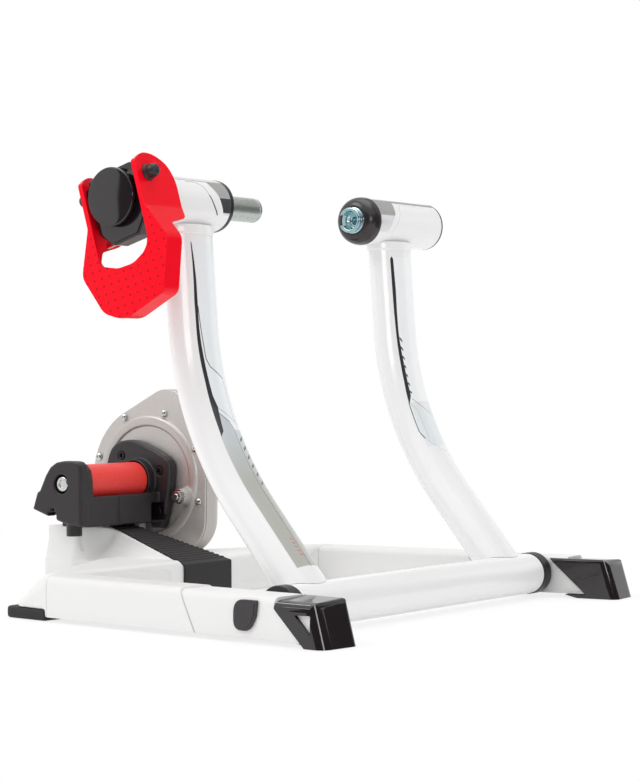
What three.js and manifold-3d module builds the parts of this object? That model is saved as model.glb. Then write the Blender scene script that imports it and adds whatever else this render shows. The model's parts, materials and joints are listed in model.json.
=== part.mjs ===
// Wheel-on bicycle trainer: a splayed base, a folding U-frame that clamps the rear axle,
// and a magnetic resistance unit whose roller the tyre rests on.
// Millimetres. X points to the front of the bicycle, Y to its left, Z up.
// The pieces are laid out from the floor below the fold axis, on the middle plane.

import * as THREE from "three";
import { mergeVertices } from "three/addons/utils/BufferGeometryUtils.js";
import Module from "manifold-3d";

const wasm = await Module();
wasm.setup();

const radians = (degrees) => (degrees * Math.PI) / 180;

// Fits and cuts
const fit = 0.3; // gap between pieces that touch, seat or slide
const overrun = 6; // how far a cutter runs past what it cuts

// Smoothness, in counts
const tubeSides = 24;
const pinSides = 12;
const screwSides = 8;
const cornerSteps = 3;
const edgeShare = 0.48; // share of an edge that one rounded corner may take

// U-frame
const foldAxisHeight = 24.8;
const hubHeight = 395.9; // axle line above the floor
const hubSetback = 150.5; // axle line behind the fold axis
const uprightTopSetback = 147.5; // centre of an upright at the axle line, behind the fold axis
const uprightOffset = 168.5; // middle plane to the centre of an upright
const uprightWide = 60;
const uprightDeep = 36;
const uprightWall = 2;
const uprightBendRadius = 305;
const uprightLowerLean = radians(39.8);
const uprightUpperLean = radians(4);
const uprightSteps = 12;
const uprightSides = 12;
const uprightBoreSides = 8;
const collarProud = 1.3; // collar round the top of an upright
const collarLength = 11;

// Cross tube, its bushes and its pivot bolts
const crossRadius = 20.75;
const crossWall = 2.4;
const crossHalfLength = 207.2;
const bushFlange = 14;
const bushProud = 0.8;
const bushSpigot = 26;
const pivotRadius = 6;
const pivotHeadRadius = 10;
const pivotHeadThick = 6;
const pivotTilt = 2.2; // depth left for the bolt head lying askew in the splayed rail
const pivotReach = 185; // inner end of a pivot bolt from the middle plane

// Hub tubes across the top
const hubTubeRadius = 25;
const hubTubeWall = 3.4;
const hubTubeInner = 125; // inner end from the middle plane
const hubTubeOuter = 243; // outer end of the right tube from the middle plane
const hubTubeLeftEnd = 238.6; // outer end of the left tube from the middle plane
const bandLength = 24; // bright band at the inner end
const bandWall = 0.9;
const bandProud = 0.3;

// Sliding plunger, right side
const plungerRadius = 12;
const plungerTip = 61; // tip from the middle plane
const plungerChamfer = 2;
const plungerCollarRadius = 19;
const plungerCollarThick = 4;
const guideFlange = 4;
const guideSpigot = 16;
const springWire = 1.6;
const springCurls = 9;
const springLength = 46;

// Fixed axle cup, left side
const cupRadius = 14;
const cupFace = 101; // face from the middle plane
const cupHead = 15;
const cupRecessRadius = 9;
const cupRecessDepth = 8;
const cupNotch = 9;
const cupStemRadius = 9.5;
const cupStemEnd = 160;
const domeLength = 17;
const domeNoseRadius = 16;
const domeSpigot = 14;
const endCapThick = 3.6;
const endCapSpigot = 9;
const endCapSeam = 0.9; // dark line left open beside the cap

// Clamp head on the right hub tube, turned about the axle line
const headTurn = radians(16.2);
const leverPinHeight = 11.5; // above the axle line, in the head
const leverPinReach = 256; // lever pin from the middle plane
const leverPinRadius = 4.5;
const camRadius = 8;
const camOffset = 8; // how far the drum stands inwards of its pin
const camDrop = 3; // how far it lies below its pin
const camSwing = radians(95);
const camSteps = 5;
const camHalfWidth = 10;
const camClearance = 1.8;
const yokeHalfWidth = 29;
const yokeTop = 26;
const yokeBottom = 41;
const yokeChinHalfWidth = 16;
const yokeChinRise = 14;
const yokeFront = 264;
const yokeBossRadius = 10;
const knobRadius = 27;
const knobFace = 273;
const knobDiscThick = 4.6;
const knobBarrelRadius = 23;
const knobWall = 4;
const stopPinRadius = 3;
const stopPinDrop = 36;

// Clamp lever
const leverWall = 3.2;
const leverFace = 270.5; // outer face from the middle plane
const leverEarHalf = 36;
const leverEarTop = 31;
const leverWaist = 19.5; // drop of the line where the ears widen into the handle
const leverHipHalf = 53.5;
const leverFootDrop = 112.5;
const leverHandleCorners = [
  [53.5, -55, 6], [35, -102, 5], [-17, -112.5, 12], [-39, -99, 6], [-55, -59.5, 6],
];
const leverRound = 6;
const leverEarRound = 3;
const leverCrestDepth = 14.5; // highest point of the ears behind the face
const leverBrow = 7.5; // drop from there to the front edge
const leverWaistRound = 2;
const leverShinRise = 13; // height over which the handle's wall deepens into the ears
const leverLobeRound = 16;
const leverWallDepth = 20.5; // depth of the handle's wall behind the face
const leverLobeDepth = 52; // depth of the ears behind the face
const leverWindowHalf = 31;
const leverWindowCorners = [
  [31, -46], [28, -55], [22, -60.5], [8, -66], [-11, -65], [-29, -57.5], [-31, -54],
];
const pinCapRadius = 6.6;
const pinCapLength = 12;
const pinCapRim = 1.5;

// Splayed side rails
const railSplay = radians(5.8);
const railOuterAtFold = 267; // outer face at the fold axis, from the middle plane
const railWidth = 44;
const railTop = 43;
const railBottom = 4;
const railWall = 3.5;
const railRound = 7;
const railRear = -272;
const railBayRear = -254;
const railSeamTop = -85;
const railSeamBottom = -65;
const railStep = 1.1; // the front piece lies this much inside the middle piece
const railRib = 4;
const railBays = 3;
const pivotBlock = 20; // solid stretch each side of the pivot

// Front feet
const footWidth = 47;
const footFront = 89.4;
const footTopFront = 77.5;
const footTop = 41;
const footArmRear = 32.5; // rear end of the arm on the outer side
const footArmDrop = 32;
const footArmToe = 67.5;
const footInnerTop = 12.7; // rear end of the arm on the inner side, at its top
const footInnerToe = 54.8;
const footSoleRear = 45;
const footHeelRear = 32; // the sole thins out to here
const footHeelThick = 0.8;
const footSoleWidth = 27;
const footRound = 8;
const footTopFall = 3; // drop of the top towards its outer edge
const footTopOuterRound = 7;
const footTopInnerRound = 3;
const footFrontRound = 4;
const footWall = 3.5;
const footWindow = [[56.5, 28], [74.5, 28.5], [74.5, 10.5]];

// Rear pads
const padRear = -330;
const padFront = -268;
const padWidth = 31;
const padHeight = 11;
const padEdge = 0.9;
const padRound = 14.5;

// Plug caps over the pivot bolts
const plugCorners = [
  [14.5, 38, 1.6], [-15, 38, 13], [-15, 10.5, 13], [4, 10.5, 6], [12.5, 22, 8],
];
const plugProud = 3;
const plugSpigot = 5;
const plugSpigotRadius = 9;
const plugEdge = 0.8;

// Rear body of the base
const bodyFront = -263;
const bodyTop = 44;
const bodyBottom = 4;
const bodyWall = 4;
const bodySideAtRear = 234.5;
const bodyTailHalf = 150;
const bodyCoreHalf = 62;
const bodyTailSweep = 0.457; // how far the rear edge runs back per unit inwards
const bodyShoulder = 8; // height over which the upper edges draw in
const bodyRearTop = -284;
const bodyRearFoot = -323;
const bodyFrontRound = 7;
const panelDepth = 3;
const underRibPitch = 46; // ribs below the base
const underRib = 3;

// Ramp and pedestal
const rampHalf = 40;
const rampFrontTop = 39.5;
const rampSlope = 0.289; // rise for each unit of length
const rampRear = -372; // where the ramp begins to widen into the pedestal
const rampWaistHalf = 20.5;
const rampBaseHalf = 51;
const pedestalTop = 75.7;
const pedestalTopHalf = 56;
const pedestalRear = -435;
const pedestalFront = -396;
const rampSteps = 5;
const flareSteps = 7;
const wallSteps = 4;
const treadFrontHalf = 37.5;
const treadRearHalf = 17.5;
const treadRear = -385;
const treadProud = 1;
const treadThick = 3;
const treadRibPitch = 6;
const treadRibWide = 2.6;
const treadRibHigh = 1;
const treadApron = 31; // height of the plate down the front of the ramp

// Resistance unit
const rollerX = -389.5;
const rollerZ = 121.2;
const rollerRadius = 19.5;
const rollerNear = -62;
const rollerFar = 31;
const rollerRound = 1.5;
const rollerRunning = 1.2;
const shaftRadius = 6;
const shaftFar = 76;
const bearingRadius = 13;
const bearingWidth = 8;
const nearBearing = -72;
const farBearing = 44;
const boltHeadRadius = 8;
const boltHeadThick = 5;
const boltHole = 10.2;
const boltSetIn = 1.5;

// Cradle under the roller
const cradleNear = -85;
const cradleShoulder = -72;
const cradleInner = -63.5;
const cradleSplit = -24;
const cradleFlange = 40;
const cradleFront = -362;
const cradleRear = -400;
const cradleSeat = 76;
const cradleBedTop = 107.5;
const cradleCorners = [
  [-362, 77.5], [-362, 145.5, 10], [-404, 145.5, 24], [-421, 113.5], [-424.5, 112], [-431, 94],
  [-400, 84], [-380, 78.5],
];
const cradleBossRound = 26; // the layer behind is rounded about the roller
const cradleNotch = [-409, -397, 80, 92]; // x from, x to, z from, z to
const cradleNotchStep = [-405, -400, 90, 96];
const flangeCorners = [
  [-360, 69], [-349, 106, 8], [-346, 142, 18], [-368, 153, 14], [-403, 166, 20], [-431, 160, 20],
  [-441, 132, 16], [-440, 105, 12], [-424, 80], [-414, 76], [-376, 76], [-374, 69],
];
const flangePocket = [-379, -356, 78, 97]; // x from, x to, z from, z to
const cradleEdge = 1.6;
const pegRadius = 8.3;
const pegX = -382;
const pegBottom = 66.5;
const pegInset = 12;
const collarRadius = 22.5;
const collarNear = 29;

// Housing of the resistance unit
const plateNear = 54;
const plateThick = 3;
const unitRadius = 80.5;
const crownX = -364;
const crownZ = 186;
const crownRadius = 33.5;
const heelX = -350;
const heelZ = 80;
const heelRadius = 40;
const unitRoom = 2; // gap between the housing and the base
const ridgeInner = 57;
const ridgeOuter = 71;
const ridgeHigh = 2.5;
const rimDepth = 12;
const coverTaper = 15;
const coverTaperInset = 14;
const coverCavity = 70;
const coverBackCavity = 63;
const coverBack = 6;
const rotorRadius = 61;
const rotorThick = 6;
const rotorNear = 62;
const rotorHubRadius = 14;
const rotorHubLength = 9;
const magnetCount = 8;
const magnetRadius = 7.5;
const magnetThick = 2.6;
const magnetCircle = 48;
const carrierThick = 4;
const carrierRadius = 60;
const plateScrewCount = 8;
const plateScrewCircle = 75.5;
const plateScrewTurn = radians(-18);
const screwHeadRadius = 4.2;
const screwHeadHigh = 2.6;
const screwRadius = 2;
const screwLength = 9;
const flangeScrewHead = 4.4;
const flangeScrewPlaces = [[-416, 147], [-362, 131], [-364, 87]];
const studX = -333.5;
const studZ = 104;
const studBossRadius = 10;
const studBossTip = 8;
const studBossHigh = 13;
const studRadius = 3.4;
const studHeadRadius = 6.6;
const studHeadThick = 5;
const studWasherRadius = 8.2;
const studWasherThick = 1.5;
const studStandoff = 1.5;

// Materials
const finish = (color, roughness, metalness) =>
  new THREE.MeshStandardMaterial({ color, roughness, metalness });
const makeWhitePaint = () => finish(0xe9eaeb, 0.32, 0.0);
const makeWhiteMoulding = () => finish(0xe6e7e7, 0.45, 0.0);
const makeBlackMoulding = () => finish(0x2b292b, 0.5, 0.0);
const makeBlackGloss = () => finish(0x1d1a1c, 0.12, 0.0);
const makeBlackRubber = () => finish(0x242223, 0.85, 0.0);
const makeRedGloss = () => finish(0xe2061f, 0.22, 0.0);
const makeRedElastomer = () => finish(0xd9281f, 0.5, 0.0);
const makeZinc = () => finish(0xc3c7c4, 0.3, 0.9);
const makeChrome = () => finish(0xd9dadb, 0.08, 1.0);
const makeSteel = () => finish(0xb4b6b8, 0.35, 0.9);
const makeCastAluminium = () => finish(0xb4aeaa, 0.48, 0.6);

// Solids

function toSolid(part) {
  if (part instanceof wasm.Manifold) return part;
  const bare = part.clone();
  bare.deleteAttribute("normal");
  bare.deleteAttribute("uv");
  const merged = mergeVertices(bare);
  const points = merged.getAttribute("position").array;
  const corners = merged.index.array;
  const faces = [];
  let volume = 0;
  const corner = (i) => new THREE.Vector3().fromArray(points, 3 * i);
  for (let i = 0; i < corners.length; i += 3) {
    const [a, b, c] = corners.slice(i, i + 3);
    if (a === b || b === c || c === a) continue;
    faces.push([a, b, c]);
    volume += corner(a).dot(corner(b).cross(corner(c)));
  }
  const triVerts = Uint32Array.from(faces.flatMap(([a, b, c]) => (volume < 0 ? [a, c, b] : [a, b, c])));
  const vertProperties = Float32Array.from(points);
  return new wasm.Manifold(new wasm.Mesh({ numProp: 3, vertProperties, triVerts }));
}

function toGeometry(part) {
  const mesh = toSolid(part).getMesh();
  const geometry = new THREE.BufferGeometry();
  geometry.setAttribute("position", new THREE.BufferAttribute(Float32Array.from(mesh.vertProperties), 3));
  geometry.setIndex(new THREE.BufferAttribute(Uint32Array.from(mesh.triVerts), 1));
  geometry.computeVertexNormals();
  return geometry;
}

const join = (first, ...rest) => rest.reduce((sum, part) => sum.add(toSolid(part)), toSolid(first));
const cut = (first, ...rest) => rest.reduce((sum, part) => sum.subtract(toSolid(part)), toSolid(first));
const common = (first, second) => toSolid(first).intersect(toSolid(second));

// Outlines: each corner is [a, b] or [a, b, rounding]

function outline(corners) {
  const shape = new THREE.Shape();
  corners.forEach(([a, b, rounding = 0], i) => {
    const here = new THREE.Vector2(a, b);
    const before = new THREE.Vector2(...corners.at(i - 1));
    const after = new THREE.Vector2(...corners[(i + 1) % corners.length]);
    const reach = Math.min(rounding, edgeShare * Math.min(before.distanceTo(here), after.distanceTo(here)));
    const start = before.sub(here).setLength(reach).add(here);
    const end = after.sub(here).setLength(reach).add(here);
    if (i === 0) shape.moveTo(start.x, start.y);
    else shape.lineTo(start.x, start.y);
    if (rounding > 0) shape.quadraticCurveTo(here.x, here.y, end.x, end.y);
  });
  shape.closePath();
  return shape;
}

const rectangle = (a0, a1, b0, b1, rounding = 0) =>
  outline([[a0, b0, rounding], [a1, b0, rounding], [a1, b1, rounding], [a0, b1, rounding]]);

function insetCorners(corners, distance) {
  const area = THREE.ShapeUtils.area(corners.map(([a, b]) => new THREE.Vector2(a, b)));
  const turn = Math.sign(area);
  return corners.map(([a, b, rounding = 0], i) => {
    const here = new THREE.Vector2(a, b);
    const back = here.clone().sub(new THREE.Vector2(...corners.at(i - 1).slice(0, 2))).normalize();
    const after = new THREE.Vector2(...corners[(i + 1) % corners.length].slice(0, 2));
    const ahead = after.sub(here).normalize();
    const inward = new THREE.Vector2(-back.y - ahead.y, back.x + ahead.x).multiplyScalar(turn).normalize();
    const edgeInward = new THREE.Vector2(-back.y, back.x).multiplyScalar(turn);
    const moved = inward.multiplyScalar(distance / inward.dot(edgeInward)).add(here);
    return [moved.x, moved.y, Math.max(rounding - distance, 0)];
  });
}

const xAxis = new THREE.Vector3(1, 0, 0);
const yAxis = new THREE.Vector3(0, 1, 0);
const zAxis = new THREE.Vector3(0, 0, 1);
const acrossX = new THREE.Matrix4().makeBasis(yAxis, zAxis, xAxis); // outline in (y, z)
const acrossY = new THREE.Matrix4().makeBasis(xAxis, zAxis, yAxis); // outline in (x, z)
const acrossZ = new THREE.Matrix4().makeBasis(xAxis, yAxis, zAxis); // outline in (x, y)

function sweep(shape, basis, from, to, bevel = 0) {
  const geometry = new THREE.ExtrudeGeometry(shape, {
    depth: to - from - 2 * bevel,
    curveSegments: cornerSteps,
    bevelEnabled: bevel > 0,
    bevelSize: bevel,
    bevelThickness: bevel,
    bevelOffset: -bevel,
    bevelSegments: 1,
  });
  return geometry.translate(0, 0, from + bevel).applyMatrix4(basis);
}

const block = (x0, x1, y0, y1, z0, z1, rounding = 0) =>
  sweep(rectangle(x0, x1, z0, z1, rounding), acrossY, y0, y1);

// A turned piece about a line parallel to Y: profile points are [radius, y]
function turned(profile, x, z, sides = tubeSides) {
  const points = profile.map(([radius, y]) => new THREE.Vector2(radius, y));
  return new THREE.LatheGeometry(points, sides).translate(x, 0, z);
}

const rod = (radius, y0, y1, x, z, sides = tubeSides) =>
  turned([[0, y0], [radius, y0], [radius, y1], [0, y1]], x, z, sides);

const ring = (outer, inner, y0, y1, x, z, sides = tubeSides) =>
  turned([[inner, y0], [outer, y0], [outer, y1], [inner, y1], [inner, y0]], x, z, sides);

const post = (radius, z0, z1, x, y, sides = tubeSides) =>
  rod(radius, z0, z1, 0, 0, sides).rotateX(Math.PI / 2).translate(x, y, 0);

const crossRod = (radius, x0, x1, y, z, sides = tubeSides) =>
  rod(radius, x0, x1, 0, 0, sides).rotateZ(-Math.PI / 2).translate(0, y, z);

// Sections with the same count of points, joined in order; place turns (a, b, at) into x, y, z
function loft(sections, place) {
  const turn = THREE.ShapeUtils.isClockWise(sections[0].points.map(([a, b]) => new THREE.Vector2(a, b)));
  const loops = sections.map(({ points }) => (turn ? [...points].reverse() : points));
  const count = loops[0].length;
  const positions = sections.flatMap(({ at }, s) => loops[s].flatMap(([a, b]) => place(a, b, at)));
  const index = [];
  for (let s = 0; s < sections.length - 1; s += 1) {
    for (let i = 0; i < count; i += 1) {
      const low = s * count + i;
      const next = s * count + ((i + 1) % count);
      index.push(low, next, next + count, low, next + count, low + count);
    }
  }
  const lid = (loop) => THREE.ShapeUtils.triangulateShape(loop.map(([a, b]) => new THREE.Vector2(a, b)), []);
  const last = (sections.length - 1) * count;
  lid(loops[0]).forEach(([a, b, c]) => index.push(c, b, a));
  lid(loops.at(-1)).forEach(([a, b, c]) => index.push(a + last, b + last, c + last));
  const geometry = new THREE.BufferGeometry();
  geometry.setAttribute("position", new THREE.Float32BufferAttribute(positions, 3));
  geometry.setIndex(index);
  return geometry;
}

function mirrored(part) {
  return toSolid(toGeometry(part).scale(1, -1, 1));
}

const bySide = (side, part) => (side > 0 ? part : mirrored(part));

// Pieces

const trainer = new THREE.Group();

function piece(name, part, material, parent = trainer) {
  const mesh = new THREE.Mesh(toGeometry(part), material);
  mesh.name = name;
  parent.add(mesh);
  return mesh;
}

const sides = [
  { side: 1, name: "left" },
  { side: -1, name: "right" },
];

// U-frame: the centre line of an upright runs straight, bends, and runs straight to the axle line
class UprightLine extends THREE.Curve {
  constructor() {
    super();
    const lower = uprightLowerLean;
    const upper = uprightUpperLean;
    const back = uprightTopSetback - uprightBendRadius * (Math.cos(upper) - Math.cos(lower));
    const rise = hubHeight - foldAxisHeight - uprightBendRadius * (Math.sin(lower) - Math.sin(upper));
    const span = Math.sin(lower - upper);
    this.lowerLength = (back * Math.cos(upper) - rise * Math.sin(upper)) / span;
    this.upperLength = (rise * Math.sin(lower) - back * Math.cos(lower)) / span;
    this.bendLength = uprightBendRadius * (lower - upper);
    this.total = this.lowerLength + this.bendLength + this.upperLength;
  }

  getPoint(share, target = new THREE.Vector3()) {
    const along = share * this.total;
    const straight = Math.min(along, this.lowerLength);
    const bent = THREE.MathUtils.clamp(along - this.lowerLength, 0, this.bendLength);
    const last = Math.max(along - this.lowerLength - this.bendLength, 0);
    const lean = uprightLowerLean - bent / uprightBendRadius;
    const x = -straight * Math.sin(uprightLowerLean)
      - uprightBendRadius * (Math.cos(lean) - Math.cos(uprightLowerLean))
      - last * Math.sin(uprightUpperLean);
    const z = straight * Math.cos(uprightLowerLean)
      + uprightBendRadius * (Math.sin(uprightLowerLean) - Math.sin(lean))
      + last * Math.cos(uprightUpperLean);
    return target.set(x, 0, foldAxisHeight + z);
  }
}

const uprightLine = new UprightLine();

function ovalBar(halfWide, halfDeep, sideCount) {
  const shape = new THREE.Shape();
  shape.absellipse(0, 0, halfWide, halfDeep, 0, 2 * Math.PI);
  return new THREE.ExtrudeGeometry(shape, {
    extrudePath: uprightLine,
    steps: uprightSteps,
    curveSegments: sideCount,
    bevelEnabled: false,
  });
}

function uprightTube(side) {
  const halfWide = uprightWide / 2;
  const halfDeep = uprightDeep / 2;
  const skin = ovalBar(halfWide, halfDeep, uprightSides);
  const collarBottom = hubHeight - hubTubeRadius - collarLength;
  const collarSlab = block(-hubSetback - uprightWide, -hubSetback + uprightWide,
    -uprightWide, uprightWide, collarBottom, hubHeight);
  const collar = common(ovalBar(halfWide + collarProud, halfDeep + collarProud, uprightSides), collarSlab);
  const bore = ovalBar(halfWide - uprightWall, halfDeep - uprightWall, uprightBoreSides);
  const hub = rod(hubTubeRadius + fit, -uprightWide, uprightWide, -hubSetback, hubHeight);
  const cross = rod(crossRadius + fit, -uprightWide, uprightWide, 0, foldAxisHeight);
  return toGeometry(cut(join(skin, collar), bore, hub, cross)).translate(0, side * uprightOffset, 0);
}

function crossTube() {
  const inner = crossRadius - crossWall;
  return ring(crossRadius, inner, -crossHalfLength, crossHalfLength, 0, foldAxisHeight);
}

function bush(side) {
  const start = crossHalfLength + fit;
  const outer = crossRadius + bushProud;
  const spigot = crossRadius - crossWall - fit;
  const bore = pivotRadius + fit;
  const profile = [
    [bore, start - bushSpigot], [spigot, start - bushSpigot], [spigot, start], [outer, start],
    [outer, start + bushFlange], [bore, start + bushFlange], [bore, start - bushSpigot],
  ];
  return bySide(side, turned(profile, 0, foldAxisHeight));
}

function hubTube(side) {
  const inner = hubTubeRadius - hubTubeWall;
  const neck = hubTubeRadius - bandWall;
  const step = hubTubeInner + bandLength;
  const end = side > 0 ? hubTubeLeftEnd : hubTubeOuter;
  const profile = [
    [inner, hubTubeInner], [neck, hubTubeInner], [neck, step], [hubTubeRadius, step],
    [hubTubeRadius, end], [inner, end], [inner, hubTubeInner],
  ];
  return bySide(side, turned(profile, -hubSetback, hubHeight));
}

function hubBand(side) {
  const inner = hubTubeRadius - bandWall + fit;
  const band = ring(hubTubeRadius + bandProud, inner, hubTubeInner, hubTubeInner + bandLength - fit,
    -hubSetback, hubHeight);
  const saddle = ovalBar(uprightWide / 2 + collarProud + fit, uprightDeep / 2 + collarProud + fit, uprightSides);
  return bySide(side, cut(band, saddle.translate(0, uprightOffset, 0)));
}

function addFrame() {
  piece("cross_tube", crossTube(), makeWhitePaint());
  for (const { side, name } of sides) {
    piece(`${name}_upright`, uprightTube(side), makeWhitePaint());
    piece(`${name}_pivot_bush`, bush(side), makeBlackMoulding());
    piece(`${name}_hub_tube`, hubTube(side), makeWhitePaint());
    piece(`${name}_hub_band`, hubBand(side), makeChrome());
  }
}

// Right side: plunger, its guide and spring
const plungerTail = leverPinReach - camOffset - camRadius - camClearance;
const guideEnd = hubTubeInner + guideSpigot;
const springStart = guideEnd + fit;
const plungerCollar = springStart + springLength + fit;
const rightHub = (profile, sideCount) => turned(profile, -hubSetback, hubHeight, sideCount);

function plunger() {
  const tip = -plungerTip;
  const collarNear = -plungerCollar;
  const profile = [
    [0, tip], [plungerRadius - plungerChamfer, tip], [plungerRadius, tip - plungerChamfer],
    [plungerRadius, collarNear], [plungerCollarRadius, collarNear],
    [plungerCollarRadius, collarNear - plungerCollarThick],
    [plungerRadius, collarNear - plungerCollarThick], [plungerRadius, -plungerTail], [0, -plungerTail],
  ];
  return rightHub(profile);
}

function plungerGuide() {
  const bore = plungerRadius + fit;
  const spigot = hubTubeRadius - hubTubeWall - fit;
  const flangeNear = -(hubTubeInner - fit - guideFlange);
  const flangeFar = -(hubTubeInner - fit);
  const profile = [
    [bore, flangeNear], [hubTubeRadius - guideFlange, flangeNear],
    [hubTubeRadius, flangeNear - guideFlange / 2], [hubTubeRadius, flangeFar],
    [spigot, flangeFar], [spigot, -guideEnd], [bore, -guideEnd], [bore, flangeNear],
  ];
  return rightHub(profile);
}

// Coil spring as one unbroken tube, four sides and eight steps to a curl
const springSides = 4;
const springStepsPerCurl = 8;
const springMeanRadius = (plungerRadius + hubTubeRadius - hubTubeWall) / 2;

function coilSpring() {
  const start = -springStart - springWire;
  const run = springLength - 2 * springWire;
  const steps = springCurls * springStepsPerCurl;
  const sections = [];
  for (let i = 0; i <= steps; i += 1) {
    const angle = (2 * Math.PI * i) / springStepsPerCurl;
    const points = [];
    for (let k = 0; k < springSides; k += 1) {
      const turn = (2 * Math.PI * k) / springSides;
      points.push([springWire * Math.cos(turn), springWire * Math.sin(turn)]);
    }
    sections.push({ points, at: { angle, y: start - (run * i) / steps } });
  }
  const place = (a, b, { angle, y }) => [
    -hubSetback + (springMeanRadius + a) * Math.cos(angle),
    y + b,
    hubHeight + (springMeanRadius + a) * Math.sin(angle),
  ];
  return loft(sections, place);
}

// Left side: fixed cup, dome and end cap
const leftHub = (profile, sideCount) => turned(profile, -hubSetback, hubHeight, sideCount);

function axleCup() {
  const headEnd = cupFace + cupHead;
  const chamfer = cupHead - cupRecessDepth - fit;
  const profile = [
    [0, cupFace + cupRecessDepth], [cupRecessRadius, cupFace + cupRecessDepth], [cupRecessRadius, cupFace],
    [cupRadius, cupFace], [cupRadius, headEnd], [cupStemRadius, headEnd], [cupStemRadius, cupStemEnd],
    [cupStemRadius - chamfer / 2, cupStemEnd + chamfer / 2], [0, cupStemEnd + chamfer / 2],
  ];
  const slotDepth = cupRecessDepth - fit;
  const slot = block(-hubSetback - cupRadius - overrun, -hubSetback - cupRecessRadius / 2,
    cupFace - overrun, cupFace + slotDepth, hubHeight - cupNotch / 2, hubHeight + cupNotch / 2);
  return cut(leftHub(profile), slot);
}

function hubDome() {
  const base = hubTubeInner - fit;
  const nose = base - domeLength;
  const spigot = hubTubeRadius - hubTubeWall - fit;
  const headBore = cupRadius + fit;
  const stemBore = cupStemRadius + fit;
  const headSeat = cupFace + cupHead + fit;
  const spigotEnd = base + domeSpigot;
  const domeSteps = 5;
  const rounded = [];
  for (let i = 0; i <= domeSteps; i += 1) {
    const angle = (Math.PI / 2) * (i / domeSteps);
    const radius = domeNoseRadius + (hubTubeRadius + bandProud - domeNoseRadius) * Math.sin(angle);
    rounded.push([radius, base - domeLength * Math.cos(angle)]);
  }
  const profile = [
    [headBore, nose], ...rounded, [spigot, base], [spigot, spigotEnd], [stemBore, spigotEnd],
    [stemBore, headSeat], [headBore, headSeat], [headBore, nose],
  ];
  return leftHub(profile);
}

function hubEndCap() {
  const spigot = hubTubeRadius - hubTubeWall - fit;
  const start = hubTubeLeftEnd + endCapSeam;
  const face = start + endCapThick;
  const edge = endCapThick / 3;
  const profile = [
    [0, start - endCapSpigot], [spigot, start - endCapSpigot], [spigot, start],
    [hubTubeRadius, start], [hubTubeRadius, face - edge], [hubTubeRadius - edge, face], [0, face],
  ];
  return leftHub(profile);
}

function addAxleClamps() {
  piece("plunger", plunger(), makeZinc());
  piece("plunger_guide", plungerGuide(), makeBlackMoulding());
  piece("plunger_spring", coilSpring(), makeSteel());
  piece("axle_cup", axleCup(), makeZinc());
  piece("hub_dome", hubDome(), makeBlackMoulding());
  piece("hub_end_cap", hubEndCap(), makeWhiteMoulding());
}

// Clamp head: drawn about the axle line, with Y as in the trainer and Z up the head
const head = new THREE.Group();
head.position.set(-hubSetback, 0, hubHeight);
head.rotation.y = -headTurn;
trainer.add(head);

// Centres of the drum from the closed lever to the open one
function camPlaces() {
  const arm = new THREE.Vector2(camOffset, -camDrop);
  return Array.from({ length: camSteps }, (_, i) => {
    const place = arm.clone().rotateAround(new THREE.Vector2(), -camSwing * (i / (camSteps - 1)));
    return [place.x - leverPinReach, place.y + leverPinHeight];
  });
}

function yoke() {
  const rear = -(hubTubeOuter + fit);
  const front = -yokeFront;
  const body = sweep(outline([
    [-yokeHalfWidth, yokeTop, overrun], [-yokeHalfWidth, -yokeBottom + yokeChinRise],
    [-yokeChinHalfWidth, -yokeBottom], [yokeChinHalfWidth, -yokeBottom],
    [yokeHalfWidth, -yokeBottom + yokeChinRise], [yokeHalfWidth, yokeTop, overrun],
  ]), acrossY, front, rear, 2 * fit);
  const boss = crossRod(yokeBossRadius, -(leverEarHalf - leverWall - fit), leverEarHalf - leverWall - fit,
    -leverPinReach, leverPinHeight);
  const knobRoom = rod(knobBarrelRadius + fit, -knobFace, front, 0, 0);
  const spigotRadius = hubTubeRadius - hubTubeWall - fit;
  const spigotEnd = -(plungerTail - camRadius);
  const spigot = ring(spigotRadius, plungerRadius + fit, rear - overrun, spigotEnd, 0, 0);
  const bore = rod(plungerRadius + fit, rear - overrun, spigotEnd + overrun, 0, 0);
  const camRoom = camPlaces().map(([y, z]) =>
    crossRod(camRadius + 2 * fit, -camHalfWidth - fit, camHalfWidth + fit, y, z));
  const pinHole = crossRod(leverPinRadius + fit, -leverEarHalf - overrun, leverEarHalf + overrun,
    -leverPinReach, leverPinHeight, pinSides);
  const stopHole = crossRod(stopPinRadius + fit, -leverEarHalf - overrun, -yokeChinHalfWidth / 2,
    -(yokeFront + hubTubeOuter) / 2, -stopPinDrop, screwSides);
  return cut(join(body, boss, spigot), knobRoom, bore, ...camRoom, pinHole, stopHole);
}

function knob() {
  const back = -(yokeFront + fit);
  const face = -knobFace;
  const inside = face + knobDiscThick;
  const edge = knobDiscThick / 4;
  return turned([
    [0, face], [knobRadius - edge, face], [knobRadius, face + edge], [knobRadius, inside],
    [knobBarrelRadius, inside], [knobBarrelRadius, back], [knobBarrelRadius - knobWall, back],
    [knobBarrelRadius - knobWall, inside], [0, inside],
  ], 0, 0);
}

const leverCorners = [
  [leverEarHalf, leverEarTop], [leverEarHalf, -leverWaist, leverWaistRound], ...leverHandleCorners,
  [-leverEarHalf, -leverWaist, leverWaistRound], [-leverEarHalf, leverEarTop],
];

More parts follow.
